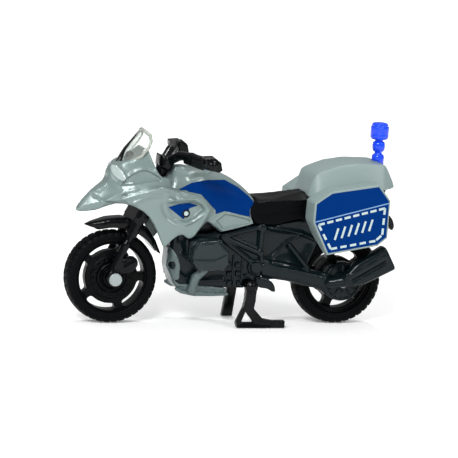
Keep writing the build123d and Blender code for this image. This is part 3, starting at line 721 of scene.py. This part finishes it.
def wheel_field(s, centre_x, disc, turn, web_radius, slot_radius):
    """A slotted wheel with five spokes, a ribbed hub and raised discs."""
    x, z, ay = s.x - centre_x, s.z - AXLE_Z, abs(s.y)
    r = np.sqrt(x * x + z * z)
    angle = np.arctan2(z, x)
    web = meet(r - web_radius, ay - 1.30, 0.2)
    band = meet(overlap(slot_radius - r, r - 8.3), ay - 1.66, 0.1)
    lip = meet(abs(r - 7.95) - 0.17, ay - 2.05, 0.12)
    shape = join(web, join(band, lip, 0.15), 0.2)
    fold = abs((angle - turn + math.pi / 5) % (2 * math.pi / 5) - math.pi / 5)
    beam = overlap(r * np.sin(fold) - 0.95, r - 8, 3.0 - r)
    shape = join(shape, meet(beam, ay - 1.25, 0.25), 0.6)
    shape = join(shape, meet(overlap(r - disc, 2.6 - r), ay - 1.66, 0.12))
    lap = (angle + math.pi / 16) % (math.pi / 8) - math.pi / 16
    holes = np.sqrt((r - disc + 0.75) ** 2 + (r * lap) ** 2) - 0.27
    shape = cut(shape, meet(holes, 1.45 - ay), 0.05)
    shape = cut(shape, meet(abs(r - 3.3) - 0.22, 1.45 - ay), 0.1)
    shape = join(shape, meet(r - 2.2, ay - 2.45, 0.3), 0.3)
    return cut(shape, r - 0.8)


wheel_rows = (
    ("front", 0, 5, 0, 6.25, 7.8, "front_wheel"),
    ("rear", REAR_X, 4.2, math.radians(36), 5.1, 7.05, "rear_wheel"),
)
for place, centre_x, *shape, body in wheel_rows:
    tread_tyre(place, centre_x, body)
    space = Space((centre_x - 8.6, -2.9, AXLE_Z - 8.6), (centre_x + 8.6, 2.9, AXLE_Z + 8.6), STEP * 1.15)
    field = wheel_field(space, centre_x, *shape)
    solid(place + "_wheel_centre", space, field, wheel_plastic, body, place + "_rim")

# ---- fork, fender and handlebar
def steer_point(up, across, y):
    """A point given along the steering axis, behind it and beside it."""
    x = -LEAD + up * math.sin(RAKE) + across * math.cos(RAKE)
    return (x, y, AXLE_Z + up * math.cos(RAKE) - across * math.sin(RAKE))


CALIPER = [(0.6, 12.1), (3.6, 12.2), (5.3, 13.8), (5.2, 15.4), (4, 16.3), (2.2, 15.8), (0.9, 14.6)]
LEG_Y = 3.85


def fork_field(s):
    """Two legs with axle ends and calipers, the crown and the steering column."""
    ay = abs(s.y)
    up, across = steer_frame(s)
    legs = []
    for y in (-LEG_Y, LEG_Y):
        upper = rod(s, steer_point(2, 0, y), steer_point(16.5, 0, y), 0.88)
        lower = rod(s, steer_point(0.4, 0.15, y), steer_point(8.6, 0, y), 1.02, 0.98)
        collar = rod(s, steer_point(8.5, 0, y), steer_point(9, 0, y), 1.1)
        legs.append(join(join(upper, lower, 0.1), collar, 0.1))
    round_end = away(s, 0, AXLE_Z)
    boss = meet(round_end - 1.9, abs(ay - 4) - 0.85, 0.3)
    cheek = abs(ay - 3.95) - 0.8 - bead(s, [(1.8, 13.2), (4.2, 14.6)], 0.2, 0.5)
    caliper = slab(s, soft(CALIPER), cheek, 0.35)
    shape = join(join(join(*legs), boss, 0.4), caliper, 0.3)
    crown = overlap(abs(across - 0.2) - 1.5, ay - 4.7, abs(up - 16.9) - 1.65)
    crown = meet(crown, ay - 4.7, 0.3)
    pads = [rod(s, steer_point(15.6, 0, y), steer_point(18, 0, y), 1.15) for y in (-LEG_Y, LEG_Y)]
    shape = join(shape, join(crown, join(*pads), 0.3), 0.4)
    brace = overlap(abs(across) - 1.3, ay - 4.3, abs(up - 13.2) - 2)
    shape = join(shape, brace, 0.4)
    shape = join(shape, rod(s, steer_point(17, 0, 0), steer_point(28, 0, 0), 1.08))
    shape = cut(shape, meet(round_end - 13.4, ay - 2.9))
    return cut(shape, round_end - 0.76)


build("fork_moulding", (-3.4, -5.3, 7.8), (12.6, 5.3, 37.2), 1.1, fork_field, black_plastic, "fork",
      body="steering")

FENDER_SIDE = [
    (-7, 22.8), (-5.4, 23.5), (-1.6, 24.6), (1.9, 24.9), (5.2, 24.2), (8, 22.3), (10, 19.6), (11.7, 16.1),
    (10.4, 16.5), (9.6, 17.4), (0, 15), (-3.4, 21.5), (-5.2, 22.2),
]


def fender_field(s):
    """The front fender: a pointed shell over the wheel with two lugs inside the legs."""
    ay = abs(s.y)
    r = away(s, 0, AXLE_Z)
    half = along(s, [(-7.2, 0.5), (-5.2, 1.5), (-3, 2.4), (0, 2.85), (7, 2.9), (10, 2.6), (11.8, 1.5)])
    arch = 0.10 * (ay / half) ** 4
    shape = meet(outline(s, FENDER_SIDE) + arch * 4, ay - half, 0.5)
    shape = meet(shape, 11.62 - r, 0.15)
    shape = cut(shape, overlap(11.9 - r, ay - half + 0.55, r - 12.35), 0.15)
    lugs = overlap(abs(r - 12.3) - 0.6, abs(ay - 2.75) - 0.2, 3.0 - s.x, s.x - 9)
    return join(shape, lugs, 0.2)


build("front_fender_moulding", (-7.8, -3.4, 15.4), (12.4, 3.4, 25.4), 1.1, fender_field, black_plastic,
      "front_fender", body="steering")

GRIP_SIDE = [(16.4, 40.7), (18.9, 40.9), (20.2, 39.9), (20.6, 38.2), (19.9, 37.6), (18.3, 38), (16.5, 39.3)]


def handlebar_field(s):
    """The clamp on the column, the bent bar, its levers and the hand guards."""
    ay = abs(s.y)
    up, across = steer_frame(s)
    around = np.sqrt(across**2 + s.y**2)
    column = meet(around - 1.85, overlap(26.2 - up, up - 30.6), 0.35)
    clamp = meet(meet(abs(across + 0.2) - 2.1, abs(up - 29.6) - 1.25, 0.3), around - 2.75, 0.3)
    shape = join(column, clamp, 0.3)
    for side in (-1, 1):
        path = [steer_point(29.5, 0, side * 0.8), (13.9, side * 4.2, 39.7), (15.5, side * 8, 39.9),
                (17.9, side * 15, 39.4)]
        for start, end in zip(path[:-1], path[1:]):
            shape = join(shape, rod(s, start, end, 1.08), 0.25)
        shape = join(shape, rod(s, (16, side * 8.8, 39.4), (18.2, side * 15, 39.2), 1.3), 0.2)
        lever = rod(s, (14.5, side * 6.8, 38.7), (16.7, side * 12.8, 38.1), 0.62, 0.4)
        shape = join(shape, lever, 0.3)
    guard = slab(s, GRIP_SIDE, abs(ay - 13.3) - 2.4, 0.25)
    guard = join(guard, meet(outline(s, GRIP_SIDE) - 0.15, abs(ay - 12.4) - 0.25, 0.1))
    shape = join(shape, guard, 0.3)
    return cut(shape, overlap(around - 1.12, up - 28.2))


build("handlebar_moulding", (10, -16.3, 34), (22.4, 16.3, 42.6), 1.2, handlebar_field, black_plastic,
      "handlebar", body="steering")

# ---- screen
SCREEN_LINE = [(-0.5, 36.9), (1.6, 40.4), (3.5, 42.8), (4.6, 44.2), (5.6, 45.3)]
SCREEN_HALF = [(0, 2.6), (0.12, 3.7), (0.3, 4.9), (0.55, 5), (0.75, 4.6), (0.9, 3.7), (0.97, 2.4), (1, 1.4)]
SCREEN_LOW, SCREEN_TALL = SCREEN_LINE[0][1], SCREEN_LINE[-1][1] - SCREEN_LINE[0][1]
SCREEN_BEND = 0.143
SCREEN_SKIN = 0.5
BEAD_RADIUS = 0.36


def screen_front(y, z):
    """Where the screen's front face is: its profile, bent backwards to the sides."""
    xs, zs = zip(*SCREEN_LINE)
    return float(np.interp(z, zs, xs)) + SCREEN_BEND * y * y


def screen_shell():
    """A curved clear shell: two skins and the edge that joins them."""
    rows, columns = 40, 28
    points = []
    for inset in (0, SCREEN_SKIN):
        for i in range(rows + 1):
            z = SCREEN_LOW + i / rows * SCREEN_TALL
            wide = float(np.interp(i / rows, *zip(*SCREEN_HALF)))
            for k in range(columns + 1):
                y = wide * (2 * k / columns - 1)
                slope = 2 * SCREEN_BEND * y
                tilt = math.hypot(1, slope)
                x = screen_front(y, z) + inset * 0.85 / tilt
                points.append((x, y - inset * slope / tilt, z - inset * 0.35))
    across = columns + 1
    block = (rows + 1) * across
    faces = []
    for i in range(rows):
        for k in range(columns):
            a = i * across + k
            faces.append((a, a + across, a + across + 1, a + 1))
            faces.append(tuple(block + v for v in (a, a + 1, a + across + 1, a + across)))
    ring = [(0, k) for k in range(columns)] + [(i, columns) for i in range(rows)]
    ring += [(rows, k) for k in range(columns, 0, -1)] + [(i, 0) for i in range(rows, 0, -1)]
    border = [i * across + k for i, k in ring]
    for a, b in zip(border, border[1:] + border[:1]):
        faces.append((a, b, b + block, a + block))
    label(mesh_object("screen_shell", points, faces, clear, "motorcycle"), "windshield")


def screen_painted_shade_strip():
    """A black strip of painted shade up the middle of the screen's front, where the clear screen shows a
    dark line, wide at its foot.
    """
    points, faces, rows = [], [], 24
    for i in range(rows + 1):
        t = i / rows
        z = 37.3 + t * 6.6
        wide = 0.3 + 1.9 * (1 - t) ** 1.4
        for y in (-wide, 0, wide):
            bend = screen_front(y, z)
            points += [(bend - 0.10, y, z), (bend + 0.06, y, z)]
    for a in range(0, rows * 6, 6):
        b = a + 6
        faces += [(a, a + 2, b + 2, b), (a + 2, a + 4, b + 4, b + 2)]
        faces += [(a + 1, b + 1, b + 3, a + 3), (a + 3, b + 3, b + 5, a + 5)]
        faces += [(a, b, b + 1, a + 1), (a + 4, a + 5, b + 5, b + 4)]
    top = rows * 6
    faces += [(0, 1, 3, 2), (2, 3, 5, 4), (top, top + 2, top + 3, top + 1),
              (top + 2, top + 4, top + 5, top + 3)]
    label(mesh_object("screen_painted_shade_strip", points, faces, black_plastic, "motorcycle"))


def screen_bead():
    """A thick rounded bead all round the screen's border; its whitish tint is a painted highlight, the light
    that the clear edge catches.
    """
    path, points, sides = [], [], 10
    steps = [i / 30 for i in range(31)]
    for side, t in [(1, t) for t in steps] + [(-1, t) for t in reversed(steps)]:
        z = SCREEN_LOW + 0.3 + t * (SCREEN_TALL - 0.75)
        y = side * (float(np.interp(t, *zip(*SCREEN_HALF))) - 0.1)
        path.append(Vector((screen_front(y, z) + 0.2, y, z)))
    for i, here in enumerate(path):
        run = (path[(i + 1) % len(path)] - path[i - 1]).normalized()
        out = Vector((1, 0, 0)) - run * run.x
        out = out.normalized() if out.length > 0.05 else run.orthogonal().normalized()
        over = run.cross(out)
        for k in range(sides):
            angle = 2 * math.pi * k / sides
            points.append(tuple(here + (out * math.cos(angle) + over * math.sin(angle)) * BEAD_RADIUS))
    faces = ring_faces(len(path), sides)
    label(mesh_object("screen_bead", points, faces, edge_clear_painted_highlight, "motorcycle"))


def gauge_field(s):
    """The round instrument behind the screen."""
    return rod(s, (3, 0, 37.2), (3.1, 0, 38.9), 0.8, 1.05)


screen_shell()
screen_painted_shade_strip()
screen_bead()
build("gauge_post", (1.2, -2.2, 36.6), (5.6, 2.2, 40.2), 0.8, gauge_field, black_plastic)

# ---- frame, engine and swinging arm
ENGINE_SIDE = [
    (13.3, 18.8), (13, 13.7), (14, 11.1), (15.4, 9.7), (28, 8.9), (34.2, 9), (35, 11.5), (34.8, 21.6),
    (31, 21.8), (24.4, 22), (21, 24.2), (14.5, 24.2), (13.2, 21),
]
PANEL_SIDE = [
    (30, 19), (33.5, 13), (41, 14.2), (46.2, 13.6), (49.6, 21.9), (45.5, 25.2), (38, 23.9), (30.5, 23.4),
]
ARM_SIDE = [
    (34.6, 15.6), (39.2, 15.4), (48.8, 12.9), (52.4, 12.6), (55.6, 12.9), (57.6, 12), (58.8, 10),
    (58.4, 7.6), (56.6, 6.3), (54.2, 6), (51.8, 6.9), (49.5, 8.9), (46.2, 9.4), (39.7, 11.1), (35, 11),
]
PEDAL_SIDE = [
    (33.8, 12), (37.2, 11), (38.2, 10), (38.7, 8.2), (37.6, 8.3), (36.6, 9), (34.4, 9.2), (33.4, 10.4),
]
TUBES = [
    [(25.2, 21.2), (29.6, 22.4), (34.3, 23.4)],
    [(34.5, 23), (34.4, 17.6)],
    [(25.4, 20.9), (33.6, 17.5)],
    [(25.2, 20.5), (32.9, 14.9)],
    [(34.5, 17.2), (35, 15.6), (36.6, 15)],
    [(41.6, 19.2), (46.3, 13.8)],
]
INNER = [(27.6, 21.3), (33.7, 22.9), (33.7, 18.6)]
BARREL_SIDE = [(16.8, 20.2), (19, 21.2), (24, 20.9), (25.9, 17), (25, 13.6), (18.6, 13.3), (16.7, 16.2)]
BOSS_ROWS = [(26.9, 14.5), (29.2, 14.4), (27.2, 12.3), (29.4, 12.4), (31, 11.6), (27.4, 10.2), (29.8, 10.1)]
HUB = (33.3, 14)
NOSE = [(11.6, 0.6), (12.7, 1.8), (13.5, 3.1), (14.8, 4.4), (16.2, 6)]
HEAD_GAP = [(18.6, 24.9), (21.4, 24.9), (24.6, 22.3), (24, 21.9), (21.5, 21.5), (17.6, 21.7)]
SPINE_SIDE = [(15, 20), (31, 20), (31, 26.4), (28, 29.4), (17, 29.9), (15, 28)]
WHEEL_ROOM = 2.9
STAND_PIVOT = (32.1, 9.8)


def tube(s, points, y, radius):
    """A round bead that follows a side-view line at a distance to either side of the middle."""
    return np.sqrt(stroke(s, points) ** 2 + (abs(s.y) - y) ** 2) - radius


def frame_field(s):
    """The left moulded half: engine, trellis and side panel, swinging arm with hub plate, and pedal."""
    ay = -s.y
    base = 4.45 + bead(s, [(15, 17.2), (18.6, 14.6)], 0.6, 0.24)
    base = base + bead(s, [(14.8, 19.6), (15.7, 17.6)], 0.5, 0.28)
    base = base + bead(s, [(14.2, 13), (16.4, 11.4), (21, 10.6), (26, 10.9)], 0.4, 0.4)
    nose = along(s, NOSE)
    engine = meet(slab(s, ENGINE_SIDE, ay - base, 0.3), ay - nose, 0.3)
    slope = 4.1 - 0.9 * near(0, 3, -outline(s, PANEL_SIDE))
    slope = slope + bead(s, [(36.4, 23.2), (44.6, 21.8), (48.6, 20.2)], 0.7, 0.5)
    slope = slope + bead(s, [(38, 16.2), (41.6, 19.4), (44.8, 21.6)], 0.35, 0.45)
    panel = slab(s, PANEL_SIDE, ay - slope, 0.3)
    shape = join(engine, panel, 0.4)
    web = [(25.2, 21.2), (34.4, 23.3), (34.4, 16.5), (33, 14.9)]
    shape = join(shape, slab(s, web, ay - 4.75, 0.2), 0.2)
    shape = cut(shape, meet(outline(s, INNER) + 0.1, 4.2 - ay), 0.15)
    for line in TUBES:
        shape = join(shape, tube(s, line, 4.85, 0.62), 0.25)
    for x, z, r in ((34.5, 23.3, 1), (25.3, 21, 0.85), (34.4, 17.4, 0.8)):
        knob = away(s, x, z)
        shape = join(shape, meet(knob - r, ay - 5.6, 0.3), 0.25)
    arm_out = along(s, [(34, 5.2), (40, 5.6), (48, 5.6), (52, 5.8), (59, 5.8)])
    arm_out = arm_out - 0.55 * near(1, 1.9, stroke(s, [(36, 13.4), (44, 12), (50.6, 10.4)]))
    arm_out = arm_out + bead(s, [(36.5, 14.6), (48.6, 12.2)], 0.25, 0.35)
    arm = slab(s, soft(ARM_SIDE), ay - arm_out, 0.4)
    arm = meet(meet(arm, WHEEL_ROOM - ay, 0.15), 35.0 - s.x)
    shape = join(shape, arm, 0.3)
    drum = away(s, REAR_X, AXLE_Z)
    around = np.arctan2(s.z - AXLE_Z, s.x - REAR_X)
    plate = meet(drum - 4.6, overlap(ay - 5.55, WHEEL_ROOM - ay), 0.25)
    shape = join(shape, plate, 0.2)
    rim = meet(abs(drum - 4.2) - 0.22, overlap(ay - 5.85, 5 - ay), 0.1)
    shape = join(shape, rim, 0.1)
    ribs = meet(overlap(2.3 - drum, drum - 3.9),
                abs(drum * ((around + math.pi / 12) % (math.pi / 6) - math.pi / 12)) - 0.2)
    shape = join(shape, meet(ribs, overlap(ay - 5.8, 5 - ay), 0.1), 0.1)
    cap = meet(drum - 1.9, overlap(ay - 6.1, 5 - ay), 0.4)
    shape = join(shape, cap, 0.2)
    lever = slab(s, soft(PEDAL_SIDE), abs(ay - 4.8) - 0.9, 0.3)
    shape = join(shape, lever, 0.2)
    barrel = meet(outline(s, BARREL_SIDE) + 0.25, ay - 7.6, 0.9)
    fins = 0.16 * np.cos(ay * 2 * math.pi / 0.9)
    shape = join(shape, barrel + np.where(ay > 4.9, fins, 0) * near(4.9, 5.3, ay), 0.15)
    for x, z in BOSS_ROWS:
        shape = join(shape, meet(overlap(abs(s.x - x) - 0.62, abs(s.z - z) - 0.55), ay - 5.2, 0.3), 0.15)
    for x in (28.1, 30.3):
        shape = join(shape, meet(overlap(abs(s.x - x) - 0.2, abs(s.z - 13) - 3.6), ay - 4.95, 0.2), 0.1)
    knob = away(s, *HUB)
    shape = join(shape, meet(knob - 1.75, ay - 5.55, 0.35), 0.3)
    shape = cut(shape, meet(abs(knob - 1.15) - 0.14, 5.3 - ay), 0.05)
    shape = cut(shape, meet(drum - TYRE_RADIUS - 0.42, ay - WHEEL_ROOM))
    shape = join(shape, slab(s, SPINE_SIDE, ay - 2.9))
    shape = cut(shape, slab(s, HEAD_GAP, 0.9 - ay), 0.2)
    shape = cut(shape, away(s, *STAND_PIVOT) - 1.2)
    return meet(shape, -ay + 0.02)


build("frame_moulding_left", (11.4, -8.2, 5.4), (60, 0.2, 30.4), 1.15, frame_field, dark_plastic,
      "frame_left")

COVER_SIDE = [
    (17.1, 16.8), (17.2, 18.9), (18.3, 20.3), (22.4, 20.6), (24.6, 18.4), (25.3, 15.4), (24.6, 14.2),
    (18.6, 14.2), (17.2, 16),
]
COVER_STEP = [(16.8, 16.7), (21.9, 16.6), (24.6, 17.9), (26, 18.6)]


def cover_field(s):
    """A six-sided cap, its lower part sloping under a step that runs across it."""
    ay = -s.y
    side = outline(s, COVER_SIDE) - 0.4
    step = np.interp(s.x, *zip(*COVER_STEP)).astype(np.float32)
    below = np.maximum(step - s.z, 0)
    top = 10.3 - 0.42 * below + 0.45 * near(0, 0.2, below) + 0.04 * np.maximum(s.z - step, 0)
    top = top - 0.40 * np.clip(1 + side / 0.35, 0, 1)
    cap = meet(side, (ay - top) * 0.8, 0.12)
    flange = meet(outline(s, BARREL_SIDE) + 0.1, abs(ay - 7.75) - 0.28, 0.12)
    return meet(join(cap, flange, 0.15), 7.45 - ay)


build("cylinder_cap_left", (16, -11.2, 12.6), (26.6, -7.2, 22), 1, cover_field, cover_plastic,
      "cylinder_cover_left", slot="dark_plastic")

SKID_SIDE = [
    (13.8, 10.8), (14.6, 9.2), (15.7, 8.2), (19, 7.05), (25.6, 7), (26.7, 8), (27, 8.9), (24, 9.2),
    (15.8, 9.9), (14.4, 11),
]


def skid_field(s):
    """The plate under the engine, with a rounded lip along each side."""
    ay = abs(s.y)
    wide = along(s, [(13.2, 1.6), (14, 3), (15.2, 4.2), (17, 4.6), (26, 4.6), (28.5, 4.2)])
    plate = slab(s, soft(SKID_SIDE), ay - wide + bead(s, [(15.5, 8.9), (26.5, 8.1)], 0.3, 0.3), 0.35)
    lip = tube(s, [(14.8, 8.7), (16, 8), (19, 7.4), (27, 7.5)], 4.5, 0.42)
    return join(plate, lip, 0.3)


build("skid_casting", (11.8, -5.4, 6.2), (29.2, 5.4, 12), 1.1, skid_field, silver_touch, "skid_plate",
      slot="silver_plastic")

GUARD_SIDE = [
    (11.2, 18.9), (12.6, 18.6), (13.6, 17.9), (14.45, 16.7), (15.1, 15.2), (15.5, 13.9), (15.3, 12.2),
    (15.5, 11), (14, 10.4), (12.8, 10.4), (11.8, 11.8), (11.2, 14.8),
]


def guard_field(s):
    """The silver front of the engine, wrapped round to the sides, with an eye in each."""
    ay = abs(s.y)
    nose = along(s, NOSE)
    shell = meet(slab(s, soft(GUARD_SIDE), outline(s, ENGINE_SIDE) - 0.25, 0.2), ay - nose - 0.22, 0.3)
    eye = np.sqrt(((s.x - 13.75) / 0.9) ** 2 + ((s.z - 14) / 1.2) ** 2)
    shell = cut(shell, meet((eye - 0.72) * 0.9, 1.8 - ay), 0.2)
    shell = shell - bead(s, [(13.2, 17.6), (14.6, 14.4), (14.4, 11.4)], 0.12, 0.3)
    return meet(shell, ay - 4.75, 0.3)


def pipe_field(s):
    """The bent pipe from the cylinder down to the belly."""
    upper = rod(s, (21.1, -6.9, 14.2), (18.7, -6.3, 11.7), 1.02)
    return join(upper, rod(s, (18.7, -6.3, 11.7), (18.3, -5.2, 8.8), 1.05), 0.1)


build("engine_guard", (10.4, -5.2, 9.4), (15.6, 5.2, 19.4), 1, guard_field, silver_touch,
      slot="silver_plastic")
build("header_pipe_left", (16.6, -8.4, 7.2), (23, -3.6, 15.8), 1, pipe_field, silver_touch,
      "exhaust_header_left", slot="silver_plastic")

# ---- seat
SEAT_SIDE = [
    (32.9, 24.2), (36.2, 24), (38.2, 24.1), (43.3, 25.4), (46.6, 25.4), (46.7, 31.5), (44.7, 31.6),
    (40.6, 30.8), (37.6, 30.1), (34, 29.9), (32.7, 30.5), (30.4, 27.7),
]


def seat_field(s):
    """The seat: sides with a creased upper edge, and a dish for the rider."""
    ay = abs(s.y)
    crease = along(s, [(30, 27.8), (32.9, 29.2), (35.8, 29.6), (44.5, 30), (47, 31)])
    below = s.z - along(s, [(30, 27), (33, 26.6), (47, 27.6)])
    width = 5.35 - 0.05 * np.maximum(-below, 0) - 2.4 * np.maximum(s.z - crease, 0)
    width = width - 0.7 * near(33.4, 31, s.x) + ridge(s.z - crease + 0.05, 0.18, 0.22)
    width = width - bead(s, [(31.5, 26.6), (35, 26.9), (46, 27.6)], 0.14, 0.25)
    block = slab(s, SEAT_SIDE, ay - width, 0.2)
    dish = 0.25 * np.exp(-((s.y / 2.6) ** 2)) * near(33.5, 36, s.x)
    top = along(s, [(30.5, 28), (32.6, 30.4), (34, 29.8), (37.6, 30.1), (40.6, 30.8), (44.7, 31.6),
                    (47, 31.7)])
    return meet(block, s.z - top + dish, 0.3)


build("seat_cushion", (30, -6.2, 23.4), (47.4, 6.2, 32.2), 1.15, seat_field, seat_plastic, "seat",
      slot="black_plastic")

# ---- muffler
MUFFLER_LOW, MUFFLER_HIGH = (54.6, 11.3), (65.2, 17.2)
MUFFLER_Y = 7.8


def muffler_field(s):
    """The grooved can with its neck, collar and open end, measured along its own slant."""
    (ax, az), (bx, bz) = MUFFLER_LOW, MUFFLER_HIGH
    run = math.hypot(bx - ax, bz - az)
    ux, uz = (bx - ax) / run, (bz - az) / run
    t = (s.x - ax) * ux + (s.z - az) * uz
    v = -(s.x - ax) * uz + (s.z - az) * ux
    side = -s.y - MUFFLER_Y
    tall = 1.5 + 1.05 * near(0, 4.5, t) + 0.045 * t
    wide = 1.6 + 0.03 * t
    box = meet(abs(v) - tall, abs(side) - wide, 1)
    box = meet(box, overlap(-t, t - run), 0.6)
    for level, depth in ((-0.15, 0.5), (-0.75, 0.28)):
        groove = overlap(abs(v - level - 0.02 * t) - 0.16, 1.6 - t, t - run + 1.6)
        box = cut(box, overlap(groove, wide - depth - side), 0.1)
    rib = overlap(abs(v - 0.75 - 0.03 * t) - 0.3, abs(side - wide + 0.05) - 0.2)
    box = join(box, meet(rib, overlap(0.8 - t, t - run + 0.8), 0.1), 0.3)
    hole = meet(overlap(abs(v) - tall + 0.7, abs(side) - wide + 0.6), run - 0.9 - t)
    box = cut(box, hole, 0.15)
    neck = rod(s, (51.6, -6.4, 10.6), (55.6, -7.4, 11.4), 1.25, 1.5)
    collar = meet(abs(t - 1) - 0.35, overlap(abs(v) - tall - 0.12, abs(side) - wide - 0.12), 0.2)
    return meet(join(join(box, neck, 0.4), collar, 0.15), 5.75 + s.y)


build("muffler_moulding", (50, -10.2, 8), (67.6, -5.6, 20.6), 1, muffler_field, dark_plastic, "muffler")

# ---- rack, tail and beacon
RACK_SIDE = [(44.6, 25.2), (49.6, 22), (52.2, 24.4), (61.5, 26), (64.2, 32.8), (46.4, 32.4), (46.4, 25.6)]
TAIL_SIDE = [
    (59.5, 26.4), (66.8, 26.2), (68, 24.9), (68.6, 23.2), (68, 22.2), (67.2, 22.8), (66.4, 24.2), (60, 23.8),
]


def rack_field(s):
    """The carrier between the panniers."""
    return slab(s, RACK_SIDE, abs(s.y) - 5.9, 0.4)


def tail_field(s):
    """The plate holder that hangs behind the carrier."""
    wide = along(s, [(59, 2.6), (66, 2.4), (68.7, 1.5)])
    return slab(s, soft(TAIL_SIDE), abs(s.y) - wide, 0.4)


build("rack_moulding", (43.8, -6.4, 21.2), (65, 6.4, 33.6), 1.4, rack_field, dark_plastic, "rear_rack")
build("plate_holder_moulding", (59, -3.2, 21.4), (69, 3.2, 27), 1, tail_field, black_plastic, "plate_holder")

beacon_low, beacon_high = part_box("beacon")
BEACON_X, BEACON_Y, BEACON_TOP = (
    (beacon_low[0] + beacon_high[0]) / 2 / MM - AXLE_X,
    (beacon_low[1] + beacon_high[1]) / 2 / MM,
    beacon_high[2] / MM,
)
BEACON_PROFILE = [
    (0, 0), (1, 0.02), (1.55, 0.12), (1.85, 0.36), (1.95, 0.62), (1.86, 0.72), (1.86, 0.84), (2.1, 0.95),
    (2.15, 1.25), (2.15, 2.55), (2.08, 2.72), (2.14, 2.9), (2.12, 3.5), (1.95, 3.85), (1.6, 4), (1, 4.1),
    (0.9, 4.4), (1.25, 4.6), (1.42, 4.9), (1.5, 5.6), (1.44, 6.3), (1.25, 6.75), (0.85, 7), (0.85, 7.35),
    (1.2, 7.6), (1.45, 8), (1.45, 9.9), (0, 9.9),
]


def beacon_lamp():
    """The lamp and its stem, turned round an upright line; flutes run down the lamp."""
    count, points = 96, []
    for i in range(count):
        angle = 2 * math.pi * i / count
        for r, drop in BEACON_PROFILE[1:-1]:
            r = r * (1 - (0.018 * (1 + math.cos(16 * angle)) if 0.9 < drop < 3.6 else 0))
            points.append((BEACON_X + r * math.cos(angle), BEACON_Y + r * math.sin(angle),
                           BEACON_TOP - drop))
    size = len(BEACON_PROFILE) - 2
    faces = ring_faces(count, size, closed=False)
    top, foot = len(points), len(points) + 1
    for drop in (BEACON_PROFILE[0][1], BEACON_PROFILE[-1][1]):
        points.append((BEACON_X, BEACON_Y, BEACON_TOP - drop))
    starts = [i * size for i in range(count)] + [0]
    faces += [(top, a, b) for a, b in zip(starts, starts[1:])]
    faces += [(foot, b + size - 1, a + size - 1) for a, b in zip(starts, starts[1:])]
    label(mesh_object("beacon_lamp", points, faces, blue_clear, "motorcycle"), "beacon")


beacon_lamp()

# ---- stand
NEAR_LEG = [
    (30.9, 10.4), (30.7, 6.4), (30.3, 4.6), (28.8, 1.3), (29.1, 0.1), (29.1, 0.1), (33.4, 0.05),
    (33.4, 0.05), (40.6, 0.15), (40.6, 0.15), (40.7, 1.6), (37.2, 1.9), (35.2, 2.3), (32.9, 4.7),
    (33.2, 6.4), (33.4, 10.4),
]
FAR_LEG = [(31, 10.4), (29.7, 0.1), (32.2, 0.05), (33.3, 10.4)]
GUSSET = [(31, 3.9), (30.1, 1.4), (33, 1.4)]
STAND_LEG_Y = 6.9


def stand_field(s):
    """The pierced near leg with its ribbed toe, the plain far leg, and the bar that they turn on."""
    near_y, far_y = abs(s.y + STAND_LEG_Y), abs(s.y - STAND_LEG_Y)
    x, z = STAND_PIVOT
    side = outline(s, NEAR_LEG)
    thick = 0.62 + 0.35 * np.clip(np.exp(np.minimum(side, 0) / 0.35), 0, 1)
    leg = meet(side, near_y - thick, 0.15)
    leg = cut(leg, outline(s, GUSSET), 0.25)
    toe = meet(meet(abs(s.x - 38.9) - 1.75, abs(s.z - 0.98) - 0.86), near_y - 0.95, 0.25)
    leg = join(leg, toe)
    for groove in (37.6, 38.6, 39.6):
        leg = cut(leg, meet(abs(s.x - groove) - 0.14, 0.72 - near_y), 0.05)
    far = slab(s, FAR_LEG, far_y - 0.9, 0.25)
    shape = join(leg, far)
    bar = rod(s, (x, -7.6, z), (x, 7.6, z), 1.08)
    for out in (near_y, far_y):
        bar = join(bar, meet(away(s, x, z) - 1.5, out - 1, 0.3), 0.2)
    return join(shape, bar, 0.2)


build("stand_moulding", (28.2, -8.3, -0.4), (41.4, 8.3, 11.8), 1.15, stand_field, black_plastic, "stand",
      body="stand")
